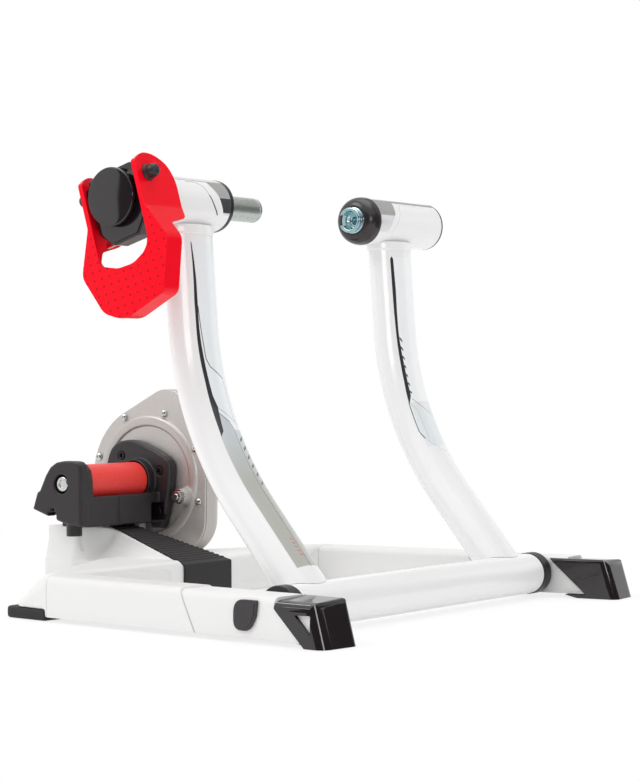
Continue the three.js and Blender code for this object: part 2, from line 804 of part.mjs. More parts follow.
function lever() {
  const face = -leverFace;
  const rear = face + leverLobeDepth;
  const shell = sweep(outline(leverCorners), acrossY, face, rear);
  const inside = insetCorners(leverCorners, leverWall).map(([a, b, rounding]) =>
    [a, b > 0 ? b + overrun + leverWall : b, rounding]);
  const hollow = sweep(outline(inside), acrossY, face + leverWall, rear + overrun);
  const window = sweep(outline([
    [leverWindowHalf, leverEarTop + overrun], ...leverWindowCorners, [-leverWindowHalf, leverEarTop + overrun],
  ]), acrossY, face - overrun, face + leverWall + overrun);
  const profile = outline([
    [face, -leverFootDrop - overrun], [face + leverWallDepth, -leverFootDrop - overrun],
    [face + leverWallDepth, -leverWaist - leverShinRise - leverRound, leverWall],
    [rear - leverRound, -leverWaist - leverShinRise, leverRound], [rear, -leverWaist, leverWall],
    [rear, leverEarTop - leverShinRise, leverLobeRound], [face + leverCrestDepth, leverEarTop, leverShinRise],
    [face, leverEarTop - leverBrow, leverEarRound],
  ]);
  const envelope = sweep(profile, acrossX, -leverHipHalf - overrun, leverHipHalf + overrun);
  const pinHole = crossRod(leverPinRadius + fit, -leverHipHalf, leverHipHalf,
    -leverPinReach, leverPinHeight, pinSides);
  return cut(common(cut(shell, hollow), envelope), window, pinHole);
}

function camPin() {
  const half = leverEarHalf + pinCapLength / 2;
  const pin = crossRod(leverPinRadius, -half, half, -leverPinReach, leverPinHeight, pinSides);
  const cam = crossRod(camRadius, -camHalfWidth, camHalfWidth, ...camPlaces()[0]);
  return join(pin, cam);
}

function pinCap(side) {
  const start = leverEarHalf + fit;
  const domed = [];
  const steps = 4;
  for (let i = 0; i <= steps; i += 1) {
    const angle = (Math.PI / 2) * (i / steps);
    domed.push([pinCapRadius * Math.cos(angle), start + pinCapRim + (pinCapLength - pinCapRim) * Math.sin(angle)]);
  }
  const socketEnd = leverEarHalf + pinCapLength / 2 + fit;
  const profile = [
    [leverPinRadius + fit, start], [pinCapRadius + pinCapRim / 2, start], ...domed, [0, socketEnd],
    [leverPinRadius + fit, socketEnd], [leverPinRadius + fit, start],
  ];
  const cap = turned(profile, 0, 0, pinSides).rotateZ(-Math.PI / 2);
  if (side < 0) cap.rotateY(Math.PI);
  return cap.translate(0, -leverPinReach, leverPinHeight);
}

function stopPin() {
  return crossRod(stopPinRadius, -yokeHalfWidth - stopPinRadius / 2, -yokeChinHalfWidth / 2 - fit,
    -(yokeFront + hubTubeOuter) / 2, -stopPinDrop, screwSides);
}

function addClampHead() {
  piece("clamp_yoke", yoke(), makeBlackMoulding(), head);
  piece("clamp_knob", knob(), makeBlackGloss(), head);
  piece("clamp_lever", lever(), makeRedGloss(), head);
  piece("lever_cam_pin", camPin(), makeSteel(), head);
  piece("lever_stop_pin", stopPin(), makeZinc(), head);
  for (const { side, name } of [{ side: 1, name: "front" }, { side: -1, name: "rear" }]) {
    piece(`${name}_pin_cap`, pinCap(side), makeBlackMoulding(), head);
  }
}

// Side rails: drawn along the rail, with Y outwards from its outer face
function railGroup(side) {
  const group = new THREE.Group();
  group.position.set(0, side * railOuterAtFold, 0);
  group.rotation.z = side * railSplay;
  trainer.add(group);
  return group;
}

const railSection = (step) => outline([
  [-step, railBottom], [-step, railTop - step, railRound + 2], [-railWidth + step, railTop - step, railRound],
  [-railWidth + step, railBottom],
]);

const railBay = (x0, x1) =>
  block(x0, x1, -railWidth + railWall, -railWall, railBottom - overrun, railTop - railWall);

// The pivot line is parallel to the trainer's Y, so it crosses the rail at the splay angle
const acrossRail = (part) => part.rotateZ(-railSplay);

function railMiddle() {
  const body = sweep(railSection(0), acrossX, railRear, railSeamTop + overrun * 5);
  const side = sweep(outline([
    [railRear, railBottom - overrun], [railSeamBottom - fit / 2, railBottom],
    [railSeamTop - fit / 2, railTop], [railRear, railTop + overrun],
  ]), acrossY, -railWidth - overrun, overrun);
  const squareEnd = acrossRail(block(2 * railRear, bodyFront + fit / 2, 2 * railRear, -railRear,
    -overrun, railTop + overrun));
  const bayLength = (railSeamTop - railBayRear) / railBays;
  const bays = [];
  for (let i = 0; i < railBays; i += 1) {
    const start = railBayRear + i * bayLength;
    bays.push(railBay(start, start + bayLength - railRib));
  }
  return cut(common(body, side), squareEnd, ...bays);
}

const footOuterCorners = [
  [footArmRear, footTop], [footTopFront, footTop, footRound], [footFront, 0],
  [footArmToe, 0], [footArmRear, footArmDrop],
];

const footInnerCorners = [
  [footInnerTop, footTop], [footTopFront, footTop, footRound], [footFront, 0], [footSoleRear, 0],
  [footHeelRear, railBottom - fit - footHeelThick], [footHeelRear, railBottom - fit],
  [footInnerToe, railBottom - fit],
];

const soleCorners = [
  [footTopFront, 0], [footSoleRear, 0], [footHeelRear, railBottom - fit - footHeelThick],
  [footHeelRear, railBottom - fit], [footTopFront, railBottom - fit],
];

function noseCorners(gap) {
  const sharp = [[footInnerTop, footTop], [footTopFront, footTop, footRound], [footFront, 0], [footInnerTop, 0]];
  const floor = railBottom - (gap > 0 ? 0 : fit);
  return insetCorners(sharp, footWall + gap).map(([a, b, rounding]) => [a, Math.max(b, floor), rounding]);
}

function railFront() {
  const main = sweep(railSection(railStep), acrossX, railSeamTop - overrun, footArmToe + overrun);
  const side = sweep(outline([
    [railSeamBottom + fit / 2, railBottom], [railSeamTop + fit / 2, railTop], [footArmRear - 2 * fit, railTop],
    [footArmRear - 2 * fit, footArmDrop], [footToeAtRail - 2 * fit, railBottom],
  ]), acrossY, -railWidth - overrun, overrun);
  const nose = sweep(outline(noseCorners(fit)), acrossY, -footWidth + footWall + fit, -footWall - fit);
  const bolt = acrossRail(rod(pivotRadius + fit, -railWidth * 2, railWidth, 0, foldAxisHeight, pinSides));
  const headRoom = acrossRail(rod(pivotHeadRadius, -pivotHeadThick - plugSpigot - pivotTilt, overrun, 0,
    foldAxisHeight));
  const bay = railBay(railSeamBottom + railRib, -pivotBlock);
  return cut(join(common(main, side), nose), bolt, headRoom, bay);
}

// Where the slanted rear edge of the outer arm crosses the underside of the rail
const footToeAtRail = footArmToe - (railBottom * (footArmToe - footArmRear)) / footArmDrop;

function foot() {
  const armInside = -footWidth + footWall;
  const arm = sweep(outline(footInnerCorners), acrossY, -footWidth, armInside);
  const sole = sweep(outline(soleCorners), acrossY, -footWidth, -footWidth + footSoleWidth);
  const hood = sweep(outline(footOuterCorners), acrossY, armInside, 0);
  const plan = sweep(outline([
    [footInnerTop - overrun, 0], [footFront, 0, footFrontRound], [footFront, -footWidth, footFrontRound],
    [footInnerTop - overrun, -footWidth],
  ]), acrossZ, 0, footTop);
  const section = sweep(outline([
    [0, 0], [0, footTop - footTopFall, footTopOuterRound], [-footWidth, footTop, footTopInnerRound], [-footWidth, 0],
  ]), acrossX, footInnerTop - overrun, footFront);
  const cavity = sweep(outline(noseCorners(0)), acrossY, armInside, -footWall);
  const window = sweep(outline(footWindow.map(([a, b]) => [a, b, footWall / 2])), acrossY, -footWall - fit, overrun);
  return cut(common(common(join(arm, sole, hood), plan), section), cavity, window);
}

const padOutline = (grow) => outline([
  [padRear - grow, grow, padRound], [padRear - grow, -padWidth - grow, padRound],
  [padFront + grow, -padWidth - grow], [padFront + grow, grow],
]);

const rearPad = () => sweep(padOutline(0), acrossZ, 0, padHeight, padEdge);

function plugCap() {
  const start = -railStep + fit;
  const face = sweep(outline(plugCorners), acrossY, start, start + plugProud, plugEdge);
  return join(face, rod(plugSpigotRadius, start - plugSpigot, start + plugProud / 2, 0, foldAxisHeight));
}

function addRails() {
  for (const { side, name } of sides) {
    const group = railGroup(side);
    piece(`${name}_rail_middle`, bySide(side, railMiddle()), makeWhiteMoulding(), group);
    piece(`${name}_rail_front`, bySide(side, railFront()), makeWhiteMoulding(), group);
    piece(`${name}_front_foot`, bySide(side, foot()), makeBlackGloss(), group);
    piece(`${name}_rear_pad`, bySide(side, rearPad()), makeBlackRubber(), group);
    piece(`${name}_plug_cap`, bySide(side, plugCap()), makeBlackMoulding(), group);
    piece(`${name}_pivot_bolt`, bySide(side, pivotBolt()), makeSteel());
  }
}

function pivotBolt() {
  const headStart = railOuterAtFold - pivotHeadThick - plugSpigot - pivotTilt + fit;
  const headRadius = pivotHeadRadius - fit;
  const profile = [
    [0, pivotReach], [pivotRadius, pivotReach], [pivotRadius, headStart], [headRadius, headStart],
    [headRadius, headStart + pivotHeadThick - pivotTilt / 2], [0, headStart + pivotHeadThick - pivotTilt / 2],
  ];
  return turned(profile, 0, foldAxisHeight, pinSides);
}

// Rear body: half outlines in (x, y), mirrored across the middle plane
function rearLoop(rear, side) {
  const front = side + (bodyFront - bodyRearFoot) * Math.tan(railSplay);
  const tail = (half) => rear - (bodySideAtRear - padRound - half) * bodyTailSweep;
  const half = [
    [bodyFront, front], [rear + padRound, side], [rear, side - padRound],
    [tail(bodyTailHalf), bodyTailHalf], [tail(bodyCoreHalf), bodyCoreHalf],
  ];
  return [...half, ...[...half].reverse().map(([x, y]) => [x, -y])];
}

function rearBody() {
  const slope = (z) => bodyRearFoot + (bodyRearTop - bodyRearFoot) * ((z - padHeight) / (bodyTop - padHeight));
  const shoulder = bodyTop - bodyShoulder;
  const rim = bodyTop - bodyShoulder / 4;
  const levels = [
    { at: bodyBottom, rear: bodyRearFoot, side: bodySideAtRear },
    { at: padHeight, rear: bodyRearFoot, side: bodySideAtRear },
    { at: shoulder, rear: slope(shoulder), side: bodySideAtRear },
    { at: rim, rear: bodyRearTop, side: bodySideAtRear - bodyShoulder / 4 },
    { at: bodyTop, rear: bodyRearTop + bodyShoulder / 2, side: bodySideAtRear - bodyShoulder * 3 / 4 },
  ];
  const body = loft(levels.map(({ at, rear, side }) => ({ at, points: rearLoop(rear, side) })),
    (a, b, at) => [a, b, at]);
  const profile = sweep(outline([
    [bodyFront, 0], [bodyFront, bodyTop, bodyFrontRound], [pedestalRear, bodyTop], [pedestalRear, 0],
  ]), acrossY, -railOuterAtFold, railOuterAtFold);
  return common(body, profile);
}

// Ramp and pedestal: sections in (y, z) from the front wall back, with hollow-curved side walls
const rampLift = (x) => Math.min(rampFrontTop + rampSlope * (bodyFront - x), pedestalTop);
const blend = (from, to, share) => from + (to - from) * share;

function rampSection(x, topHalf, baseHalf) {
  const top = rampLift(x);
  const foot = Math.min(bodyTop - bodyWall, top - 2 * bodyWall);
  const wall = [];
  for (let i = 0; i <= wallSteps; i += 1) {
    const share = i / wallSteps;
    wall.push([blend(topHalf, baseHalf, (1 - share) ** 2), blend(foot, top, share)]);
  }
  const half = [[baseHalf, bodyBottom], ...wall];
  return { at: x, points: [...half, ...[...half].reverse().map(([y, z]) => [-y, z])] };
}

function rampAndPedestal() {
  const sections = [];
  for (let i = 0; i <= rampSteps; i += 1) {
    const share = i / rampSteps;
    sections.push(rampSection(blend(bodyFront, rampRear, share), blend(rampHalf, rampWaistHalf, share),
      blend(rampHalf, rampBaseHalf, share)));
  }
  for (let i = 1; i <= flareSteps; i += 1) {
    const share = i / flareSteps;
    sections.push(rampSection(blend(rampRear, pedestalFront, share),
      blend(rampWaistHalf, pedestalTopHalf, THREE.MathUtils.smoothstep(share, 0, 1)),
      blend(rampBaseHalf, bodyCoreHalf, share)));
  }
  sections.push(rampSection(pedestalRear, pedestalTopHalf, bodyCoreHalf));
  return loft(sections, (a, b, at) => [at, a, b]);
}

// Hollows below the base, with ribs left between them
function rearPockets() {
  const tail = (half) => bodyRearTop - (bodySideAtRear - half) * bodyTailSweep + bodyWall;
  const sideRoom = (side) => sweep(outline([
    [bodyFront - 2 * bodyWall, side * (rampHalf + 3 * bodyWall)],
    [bodyFront - 2 * bodyWall, side * (bodySideAtRear - railWidth)],
    [bodyRearTop, side * (bodySideAtRear - railWidth)],
    [tail(bodyCoreHalf + bodyWall), side * (bodyCoreHalf + bodyWall)],
    [rampRear, side * (bodyCoreHalf + bodyWall)],
  ]), acrossZ, bodyBottom - overrun, bodyTop - bodyWall);
  const rampRoom = block(rampRear, bodyFront - 2 * bodyWall, bodyWall - rampHalf, rampHalf - bodyWall,
    bodyBottom - overrun, rampFrontTop - bodyWall);
  const core = block(pedestalRear + bodyWall, pedestalFront + 2 * bodyWall, 2 * bodyWall - bodyCoreHalf,
    plateNear - unitRoom - bodyWall, bodyBottom - overrun, pedestalTop - bodyWall);
  const ribs = [];
  for (let x = bodyFront - underRibPitch; x > pedestalRear; x -= underRibPitch) {
    ribs.push(block(x - underRib, x, -bodySideAtRear, bodySideAtRear, 0, bodyTop));
  }
  for (let y = 0; y < bodySideAtRear; y += underRibPitch) {
    ribs.push(block(pedestalRear, bodyFront, y - underRib / 2, y + underRib / 2, 0, pedestalTop));
    ribs.push(block(pedestalRear, bodyFront, -y - underRib / 2, underRib / 2 - y, 0, pedestalTop));
  }
  return cut(join(sideRoom(1), sideRoom(-1), rampRoom, core), ...ribs);
}

function panelRecess(side) {
  const inner = rampHalf + 4 * bodyWall;
  const outer = bodySideAtRear - railWidth + bodyWall;
  const shape = rectangle(inner, outer, bodyBottom + 2 * bodyWall, bodyTop + overrun, 2 * bodyWall);
  const recess = sweep(shape, acrossX, bodyFront - panelDepth, bodyFront + overrun);
  const trimmed = common(recess, block(bodyFront - overrun, bodyFront + 2 * overrun, 0, outer,
    0, bodyTop - 2 * bodyWall));
  return bySide(side, trimmed);
}

function padNotch(side) {
  const notch = sweep(padOutline(fit), acrossZ, -overrun, padHeight + fit);
  const placed = toGeometry(notch).rotateZ(railSplay).translate(0, railOuterAtFold, 0);
  return bySide(side, placed);
}

// Tread: a tapering plate up the ramp and an apron down its front
function treadSolid(gap, ribCount) {
  const front = bodyFront + treadThick;
  const lift = (x) => rampFrontTop + rampSlope * (bodyFront - x);
  const halfAt = (x) => blend(treadFrontHalf, treadRearHalf, (bodyFront - x) / (bodyFront - rampRear));
  const strip = (x) => {
    const half = Math.max(halfAt(x), treadRearHalf) + gap;
    const low = lift(x) - treadThick + treadProud - gap;
    const high = lift(x) + treadProud + gap;
    return { at: x, points: [[-half, low], [half, low], [half, high], [-half, high]] };
  };
  const plate = loft([strip(front), strip(rampRear), strip(treadRear - gap)], (a, b, at) => [at, a, b]);
  const apron = block(bodyFront - gap, front, -treadFrontHalf - gap, treadFrontHalf + gap,
    rampFrontTop - treadApron, rampFrontTop);
  const ribs = [];
  for (let i = 1; i <= ribCount; i += 1) {
    const x = bodyFront - treadRibPitch * i;
    const half = Math.max(halfAt(x), treadRearHalf) - treadRibWide;
    const top = lift(x) + treadProud + treadRibHigh;
    ribs.push(block(x - treadRibWide, x, -half, half, top - treadThick, top));
  }
  return join(plate, apron, ...ribs);
}

function addRearBody() {
  const rampMeetsDeck = bodyFront - (bodyTop - rampFrontTop) / rampSlope;
  const overRamp = sweep(outline([
    [bodyFront + overrun, rampFrontTop], [bodyFront, rampFrontTop], [rampMeetsDeck, bodyTop],
    [rampMeetsDeck, bodyTop + overrun], [bodyFront + overrun, bodyTop + overrun],
  ]), acrossY, -rampHalf, rampHalf);
  const shell = join(cut(rearBody(), overRamp), rampAndPedestal());
  const unitSlot = sweep(outline(hullOfCircles(-unitRoom)), acrossY, plateNear - ridgeHigh - unitRoom,
    coverFar + unitRoom);
  const body = cut(shell, rearPockets(), panelRecess(1), panelRecess(-1), padNotch(1), padNotch(-1),
    treadSolid(fit, 0), unitSlot);
  piece("rear_body", body, makeWhiteMoulding());
  const ribCount = Math.floor((bodyFront - treadRear) / treadRibPitch) - 1;
  piece("ramp_tread", treadSolid(0, ribCount), makeBlackRubber());
}

// Cradle: near block, low bed and far flange, split in two mouldings
function rollerRoom() {
  return rod(rollerRadius + rollerRunning, rollerNear - rollerRunning, rollerFar + rollerRunning, rollerX, rollerZ);
}

const pit = ([x0, x1, z0, z1], y0, y1) => block(x0, x1, y0, y1, z0, z1);

function cradleOuter() {
  const front = sweep(outline(cradleCorners), acrossY, cradleNear, cradleShoulder, cradleEdge);
  const bossCorners = insetCorners(cradleCorners, cradleEdge);
  bossCorners[1][2] = cradleBossRound;
  const behind = sweep(outline(bossCorners), acrossY, cradleShoulder - fit, cradleInner);
  const bed = block(cradleRear, cradleFront - fit, cradleInner - fit, cradleSplit - fit / 2, cradleSeat,
    cradleBedTop, fit);
  const foot = block(cradleRear, cradleFront - fit, cradleShoulder, cradleInner, cradleSeat, cradleBedTop);
  const peg = post(pegRadius, pegBottom, cradleBedTop, pegX, cradleNear + pegInset, pinSides * 2);
  const hole = rod(boltHole, cradleNear - overrun, nearBearing + fit, rollerX, rollerZ);
  const seat = rod(bearingRadius + fit, nearBearing - fit, cradleInner + overrun, rollerX, rollerZ);
  const notch = pit(cradleNotch, cradleNear - overrun, cradleNear + pegInset);
  const notchStep = pit(cradleNotchStep, cradleNear - overrun, cradleNear + pegInset);
  return cut(join(front, behind, bed, foot, peg), hole, seat, rollerRoom(), notch, notchStep);
}

function cradleInnerPiece() {
  const flange = sweep(outline(flangeCorners), acrossY, cradleFlange, plateNear - fit, cradleEdge);
  const bed = block(cradleRear, cradleFront - fit, cradleSplit + fit / 2, cradleFlange + cradleEdge * 2, cradleSeat,
    cradleBedTop, fit);
  const collar = rod(collarRadius, collarNear, cradleFlange + cradleEdge * 2, rollerX, rollerZ);
  const seat = rod(bearingRadius + fit, farBearing - fit, plateNear, rollerX, rollerZ);
  const shaftHole = rod(bearingRadius - cradleEdge, collarNear - overrun, plateNear, rollerX, rollerZ);
  const pocket = pit(flangePocket, cradleFlange - 2 * overrun, cradleFlange + overrun);
  const holes = flangeScrewPlaces.map(([x, z]) => rod(screwRadius + fit, cradleFlange, plateNear, x, z, screwSides));
  const sinks = flangeScrewPlaces.map(([x, z]) =>
    rod(flangeScrewHead + fit * 2, cradleFlange - overrun, cradleFlange + screwHeadHigh, x, z, pinSides));
  const ridgeRoom = ring(ridgeOuter, ridgeInner - fit, plateNear - ridgeHigh - fit, plateNear, rollerX, rollerZ);
  const housing = join(flange, bed, collar);
  return cut(housing, seat, shaftHole, rollerRoom(), ridgeRoom, pocket, ...holes, ...sinks);
}

// Roller and what turns with it
const aboutRoller = (profile, sideCount) => turned(profile, rollerX, rollerZ, sideCount);

function roller() {
  const bore = shaftRadius + fit;
  return aboutRoller([
    [bore, rollerNear], [rollerRadius - rollerRound, rollerNear], [rollerRadius, rollerNear + rollerRound],
    [rollerRadius, rollerFar - rollerRound], [rollerRadius - rollerRound, rollerFar], [bore, rollerFar],
    [bore, rollerNear],
  ]);
}

const boltFace = cradleNear + boltSetIn;
const rollerShaft = () =>
  rod(shaftRadius, boltFace + boltHeadThick + fit, shaftFar, rollerX, rollerZ, pinSides);

function rollerBolt() {
  const edge = boltHeadThick / 5;
  const socket = boltHeadRadius / 2;
  return aboutRoller([
    [0, boltFace + edge], [socket, boltFace + edge], [socket + edge, boltFace],
    [boltHeadRadius - edge, boltFace], [boltHeadRadius, boltFace + edge],
    [boltHeadRadius, boltFace + boltHeadThick], [0, boltFace + boltHeadThick],
  ], pinSides * 1.5);
}

const bearing = (y) => ring(bearingRadius, shaftRadius + fit, y, y + bearingWidth, rollerX, rollerZ);

function rotor() {
  const bore = shaftRadius + fit;
  const end = rotorNear + rotorHubLength;
  return aboutRoller([
    [bore, rotorNear], [rotorRadius, rotorNear], [rotorRadius, rotorNear + rotorThick],
    [rotorHubRadius, rotorNear + rotorThick], [rotorHubRadius, end], [bore, end], [bore, rotorNear],
  ]);
}

// Housing: the outline is the hull round a disc, a crown and a heel
function hullOfCircles(inset) {
  const circles = [
    [rollerX, rollerZ, unitRadius], [crownX, crownZ, crownRadius], [heelX, heelZ, heelRadius],
  ];
  const steps = 24;
  const points = [];
  for (const [x, z, radius] of circles) {
    for (let i = 0; i < steps; i += 1) {
      const angle = (2 * Math.PI * i) / steps;
      points.push([x + (radius - inset) * Math.cos(angle), z + (radius - inset) * Math.sin(angle)]);
    }
  }
  points.sort((p, q) => p[0] - q[0] || p[1] - q[1]);
  const turns = (o, a, b) => (a[0] - o[0]) * (b[1] - o[1]) - (a[1] - o[1]) * (b[0] - o[0]);
  const chain = (list) => {
    const kept = [];
    for (const point of list) {
      while (kept.length > 1 && turns(kept.at(-2), kept.at(-1), point) <= 0) kept.pop();
      kept.push(point);
    }
    return kept.slice(0, -1);
  };
  return [...chain(points), ...chain(points.reverse())];
}

const screwPlaces = Array.from({ length: plateScrewCount }, (_, i) => {
  const angle = plateScrewTurn + (2 * Math.PI * i) / plateScrewCount;
  return [rollerX + plateScrewCircle * Math.cos(angle), rollerZ + plateScrewCircle * Math.sin(angle)];
});

function frontPlate() {
  const edge = plateThick / 3;
  const plate = sweep(outline(hullOfCircles(0)), acrossY, plateNear, plateNear + plateThick, edge);
  const mid = plateNear + plateThick / 2;
  const ridge = aboutRoller([
    [ridgeInner, mid], [ridgeInner, plateNear], [ridgeInner + ridgeHigh, plateNear - ridgeHigh],
    [ridgeOuter - ridgeHigh, plateNear - ridgeHigh], [ridgeOuter, plateNear], [ridgeOuter, mid], [ridgeInner, mid],
  ], tubeSides * 1.5);
  const boss = turned([
    [0, mid], [studBossRadius + edge, mid], [studBossRadius, plateNear - edge],
    [studBossTip, plateNear - studBossHigh], [0, plateNear - studBossHigh],
  ], studX, studZ, pinSides * 1.5);
  const shaftHole = rod(shaftRadius * 1.5, plateNear - overrun, plateNear + overrun, rollerX, rollerZ, pinSides);
  const holes = screwPlaces.map(([x, z]) =>
    rod(screwRadius + fit, plateNear - overrun, plateNear + overrun, x, z, screwSides));
  const studHole = rod(studRadius + fit, plateNear - studBossHigh - overrun, plateNear + overrun, studX, studZ,
    screwSides);
  return cut(join(plate, ridge, boss), shaftHole, studHole, ...holes);
}

const coverNear = plateNear + plateThick + fit;
const coverFar = coverNear + rimDepth + coverTaper;

function rearCover() {
  const rim = sweep(outline(hullOfCircles(0)), acrossY, coverNear, coverNear + rimDepth);
  const taperSteps = 3;
  const slices = [];
  for (let i = 1; i <= taperSteps; i += 1) {
    const share = i / taperSteps;
    const from = coverNear + rimDepth + (coverTaper * (i - 1)) / taperSteps;
    const inset = coverTaperInset * (1 - Math.sqrt(1 - share * share));
    slices.push(sweep(outline(hullOfCircles(inset)), acrossY, from - fit, coverNear + rimDepth + coverTaper * share));
  }
  const cavity = aboutRoller([
    [0, coverNear - overrun], [coverCavity, coverNear - overrun], [coverCavity, coverNear + rimDepth],
    [coverBackCavity, coverFar - coverBack], [0, coverFar - coverBack],
  ]);
  const holes = screwPlaces.map(([x, z]) =>
    rod(screwRadius + fit, coverNear - overrun, plateNear + screwLength + fit, x, z, screwSides));
  return cut(join(rim, ...slices), cavity, ...holes);
}

function magnetCarrier() {
  const back = coverFar - coverBack - fit;
  const front = back - carrierThick;
  const hole = rotorHubRadius + overrun / 2;
  const disc = ring(carrierRadius, hole, front, back, rollerX, rollerZ);
  const magnets = Array.from({ length: magnetCount }, (_, i) => {
    const angle = (2 * Math.PI * i) / magnetCount;
    return rod(magnetRadius, front - magnetThick, back - fit, rollerX + magnetCircle * Math.cos(angle),
      rollerZ + magnetCircle * Math.sin(angle), screwSides);
  });
  return join(disc, ...magnets);
}

function panScrew(x, z) {
  const face = plateNear - fit;
  return turned([
    [0, face - screwHeadHigh], [screwHeadRadius / 2, face - screwHeadHigh], [screwHeadRadius, face - screwHeadHigh / 2],
    [screwHeadRadius, face], [screwRadius, face], [screwRadius, plateNear + screwLength],
    [0, plateNear + screwLength],
  ], x, z, screwSides);
}

function flangeScrew(x, z) {
  const seat = cradleFlange + screwHeadHigh - fit;
  const socket = flangeScrewHead / 2;
  const head = turned([
    [0, seat - screwHeadHigh / 2], [socket, seat - screwHeadHigh / 2], [socket, seat - screwHeadHigh],
    [flangeScrewHead, seat - screwHeadHigh], [flangeScrewHead, seat], [screwRadius, seat],
    [screwRadius, plateNear - 2 * fit], [0, plateNear - 2 * fit],
  ], x, z, pinSides);
  return head;
}

function studBolt() {
  const seat = plateNear - studBossHigh - fit;
  const washerFace = seat - studWasherThick;
  const hexSides = 6;
  const headFace = washerFace - studHeadThick;
  const hex = rod(studHeadRadius, headFace, washerFace + fit, studX, studZ, hexSides);
  const washer = rod(studWasherRadius, washerFace, seat, studX, studZ, pinSides);
  const shank = rod(studRadius, seat - fit, plateNear + plateThick, studX, studZ, screwSides);
  const nose = turned([[0, headFace - studStandoff], [studRadius, headFace - studStandoff],
    [studRadius, headFace + fit], [0, headFace + fit]], studX, studZ, screwSides);
  return join(hex, washer, shank, nose);
}

function addResistanceUnit() {
  piece("cradle_outer", cradleOuter(), makeBlackMoulding());
  piece("cradle_inner", cradleInnerPiece(), makeBlackMoulding());
  piece("roller", roller(), makeRedElastomer());
  piece("roller_shaft", rollerShaft(), makeSteel());
  piece("roller_bolt", rollerBolt(), makeZinc());
  piece("near_bearing", bearing(nearBearing), makeSteel());
  piece("far_bearing", bearing(farBearing), makeSteel());
  piece("rotor", rotor(), makeSteel());
  piece("front_plate", frontPlate(), makeCastAluminium());
  piece("rear_cover", rearCover(), makeCastAluminium());
  piece("magnet_carrier", magnetCarrier(), makeSteel());
  piece("stud_bolt", studBolt(), makeZinc());
  screwPlaces.forEach(([x, z], i) => piece(`plate_screw_${i + 1}`, panScrew(x, z), makeZinc()));
  flangeScrewPlaces.forEach(([x, z], i) => piece(`cradle_screw_${i + 1}`, flangeScrew(x, z), makeBlackMoulding()));
}

addFrame();
addAxleClamps();
addClampHead();
addRails();
addRearBody();
addResistanceUnit();

// The origin is the middle of the footprint of the whole trainer, on the floor
trainer.updateMatrixWorld(true);
const bounds = new THREE.Box3().setFromObject(trainer, true);
const centre = bounds.getCenter(new THREE.Vector3());
trainer.position.set(-centre.x, -centre.y, -bounds.min.z);

const group = new THREE.Group();
group.add(trainer);
export default group;
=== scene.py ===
# %% [markdown]
# # A wheel-on bicycle trainer
# The trainer clamps the rear axle of a bicycle between two hub tubes and lets the tyre drive
# a red roller. Its white frame is painted steel tube, its base is moulded plastic, and its
# brake sits in a grey coated housing behind the roller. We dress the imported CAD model: each
# visible piece is modelled again with soft edges, and each gets a material of its own.

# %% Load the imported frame
import json
import math

import bpy
from mathutils import Matrix, Vector
from mathutils.geometry import convex_hull_2d

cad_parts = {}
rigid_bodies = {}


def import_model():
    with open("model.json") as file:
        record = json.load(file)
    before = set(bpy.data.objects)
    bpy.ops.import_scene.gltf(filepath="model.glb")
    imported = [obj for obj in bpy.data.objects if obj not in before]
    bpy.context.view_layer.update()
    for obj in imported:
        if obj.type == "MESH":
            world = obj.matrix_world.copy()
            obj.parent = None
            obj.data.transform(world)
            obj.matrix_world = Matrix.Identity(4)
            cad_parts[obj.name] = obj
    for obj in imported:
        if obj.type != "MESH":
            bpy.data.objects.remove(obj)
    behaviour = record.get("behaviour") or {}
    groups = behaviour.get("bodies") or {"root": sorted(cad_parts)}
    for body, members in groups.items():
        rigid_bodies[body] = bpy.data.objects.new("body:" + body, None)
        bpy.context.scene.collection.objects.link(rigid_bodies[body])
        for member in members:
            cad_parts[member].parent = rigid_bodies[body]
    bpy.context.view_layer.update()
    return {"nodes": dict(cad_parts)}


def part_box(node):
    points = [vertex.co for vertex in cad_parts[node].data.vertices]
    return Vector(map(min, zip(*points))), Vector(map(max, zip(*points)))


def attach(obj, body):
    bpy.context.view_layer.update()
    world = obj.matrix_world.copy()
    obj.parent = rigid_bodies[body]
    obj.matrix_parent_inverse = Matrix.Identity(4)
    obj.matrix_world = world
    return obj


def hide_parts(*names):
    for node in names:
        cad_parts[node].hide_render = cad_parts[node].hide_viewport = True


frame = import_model()

# %% [markdown]
# ## Where things are
# Sizes are written in millimetres from the point on the floor below the fold axis of the
# frame. The cross tube lies on that axis, so its box tells where the axis is in the model.
# The clamp head leans about the hub line, and the side rails splay outwards, so each has a
# small function that turns its own coordinates into the model's.

# %% Places and planes
MM = 0.001
tube_low, tube_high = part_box("cross_tube")
FOLD_X = (tube_low.x + tube_high.x) / 2
FOLD_Z = 24.8
UPRIGHT_Y = 168.5
HUB_X, HUB_Z, HUB_RADIUS = -150.5, 395.9, 25.0
ROLLER_X, ROLLER_Z = -389.5, 121.2
HEAD_TURN = math.radians(16.2)
RAIL_SPLAY = math.radians(5.8)
RAIL_OUT = 267


def place(x, y, z):
    return Vector((FOLD_X + x * MM, y * MM, z * MM))


def side_view(a, b, depth):
    return place(a, depth, b)


def plan_view(a, b, depth):
    return place(a, b, depth)


def head_side(a, b, depth):
    cos, sin = math.cos(HEAD_TURN), math.sin(HEAD_TURN)
    return place(HUB_X + a * cos - b * sin, depth, HUB_Z + a * sin + b * cos)


def head_front(a, b, depth):
    return head_side(depth, b, a)


def rail_place(side, along, out, up):
    cos, sin = math.cos(RAIL_SPLAY), math.sin(RAIL_SPLAY)
    return place(along * cos - out * sin, side * (RAIL_OUT + along * sin + out * cos), up)


print("the fold axis is at x =", round(FOLD_X, 4), "m")

# %% [markdown]
# ## The camera
# The photograph was taken with a long lens a little above the base and to the right of the
# trainer's front. The camera's place and turn were solved from points measured in the photo,
# so every piece can be compared with it pixel by pixel.

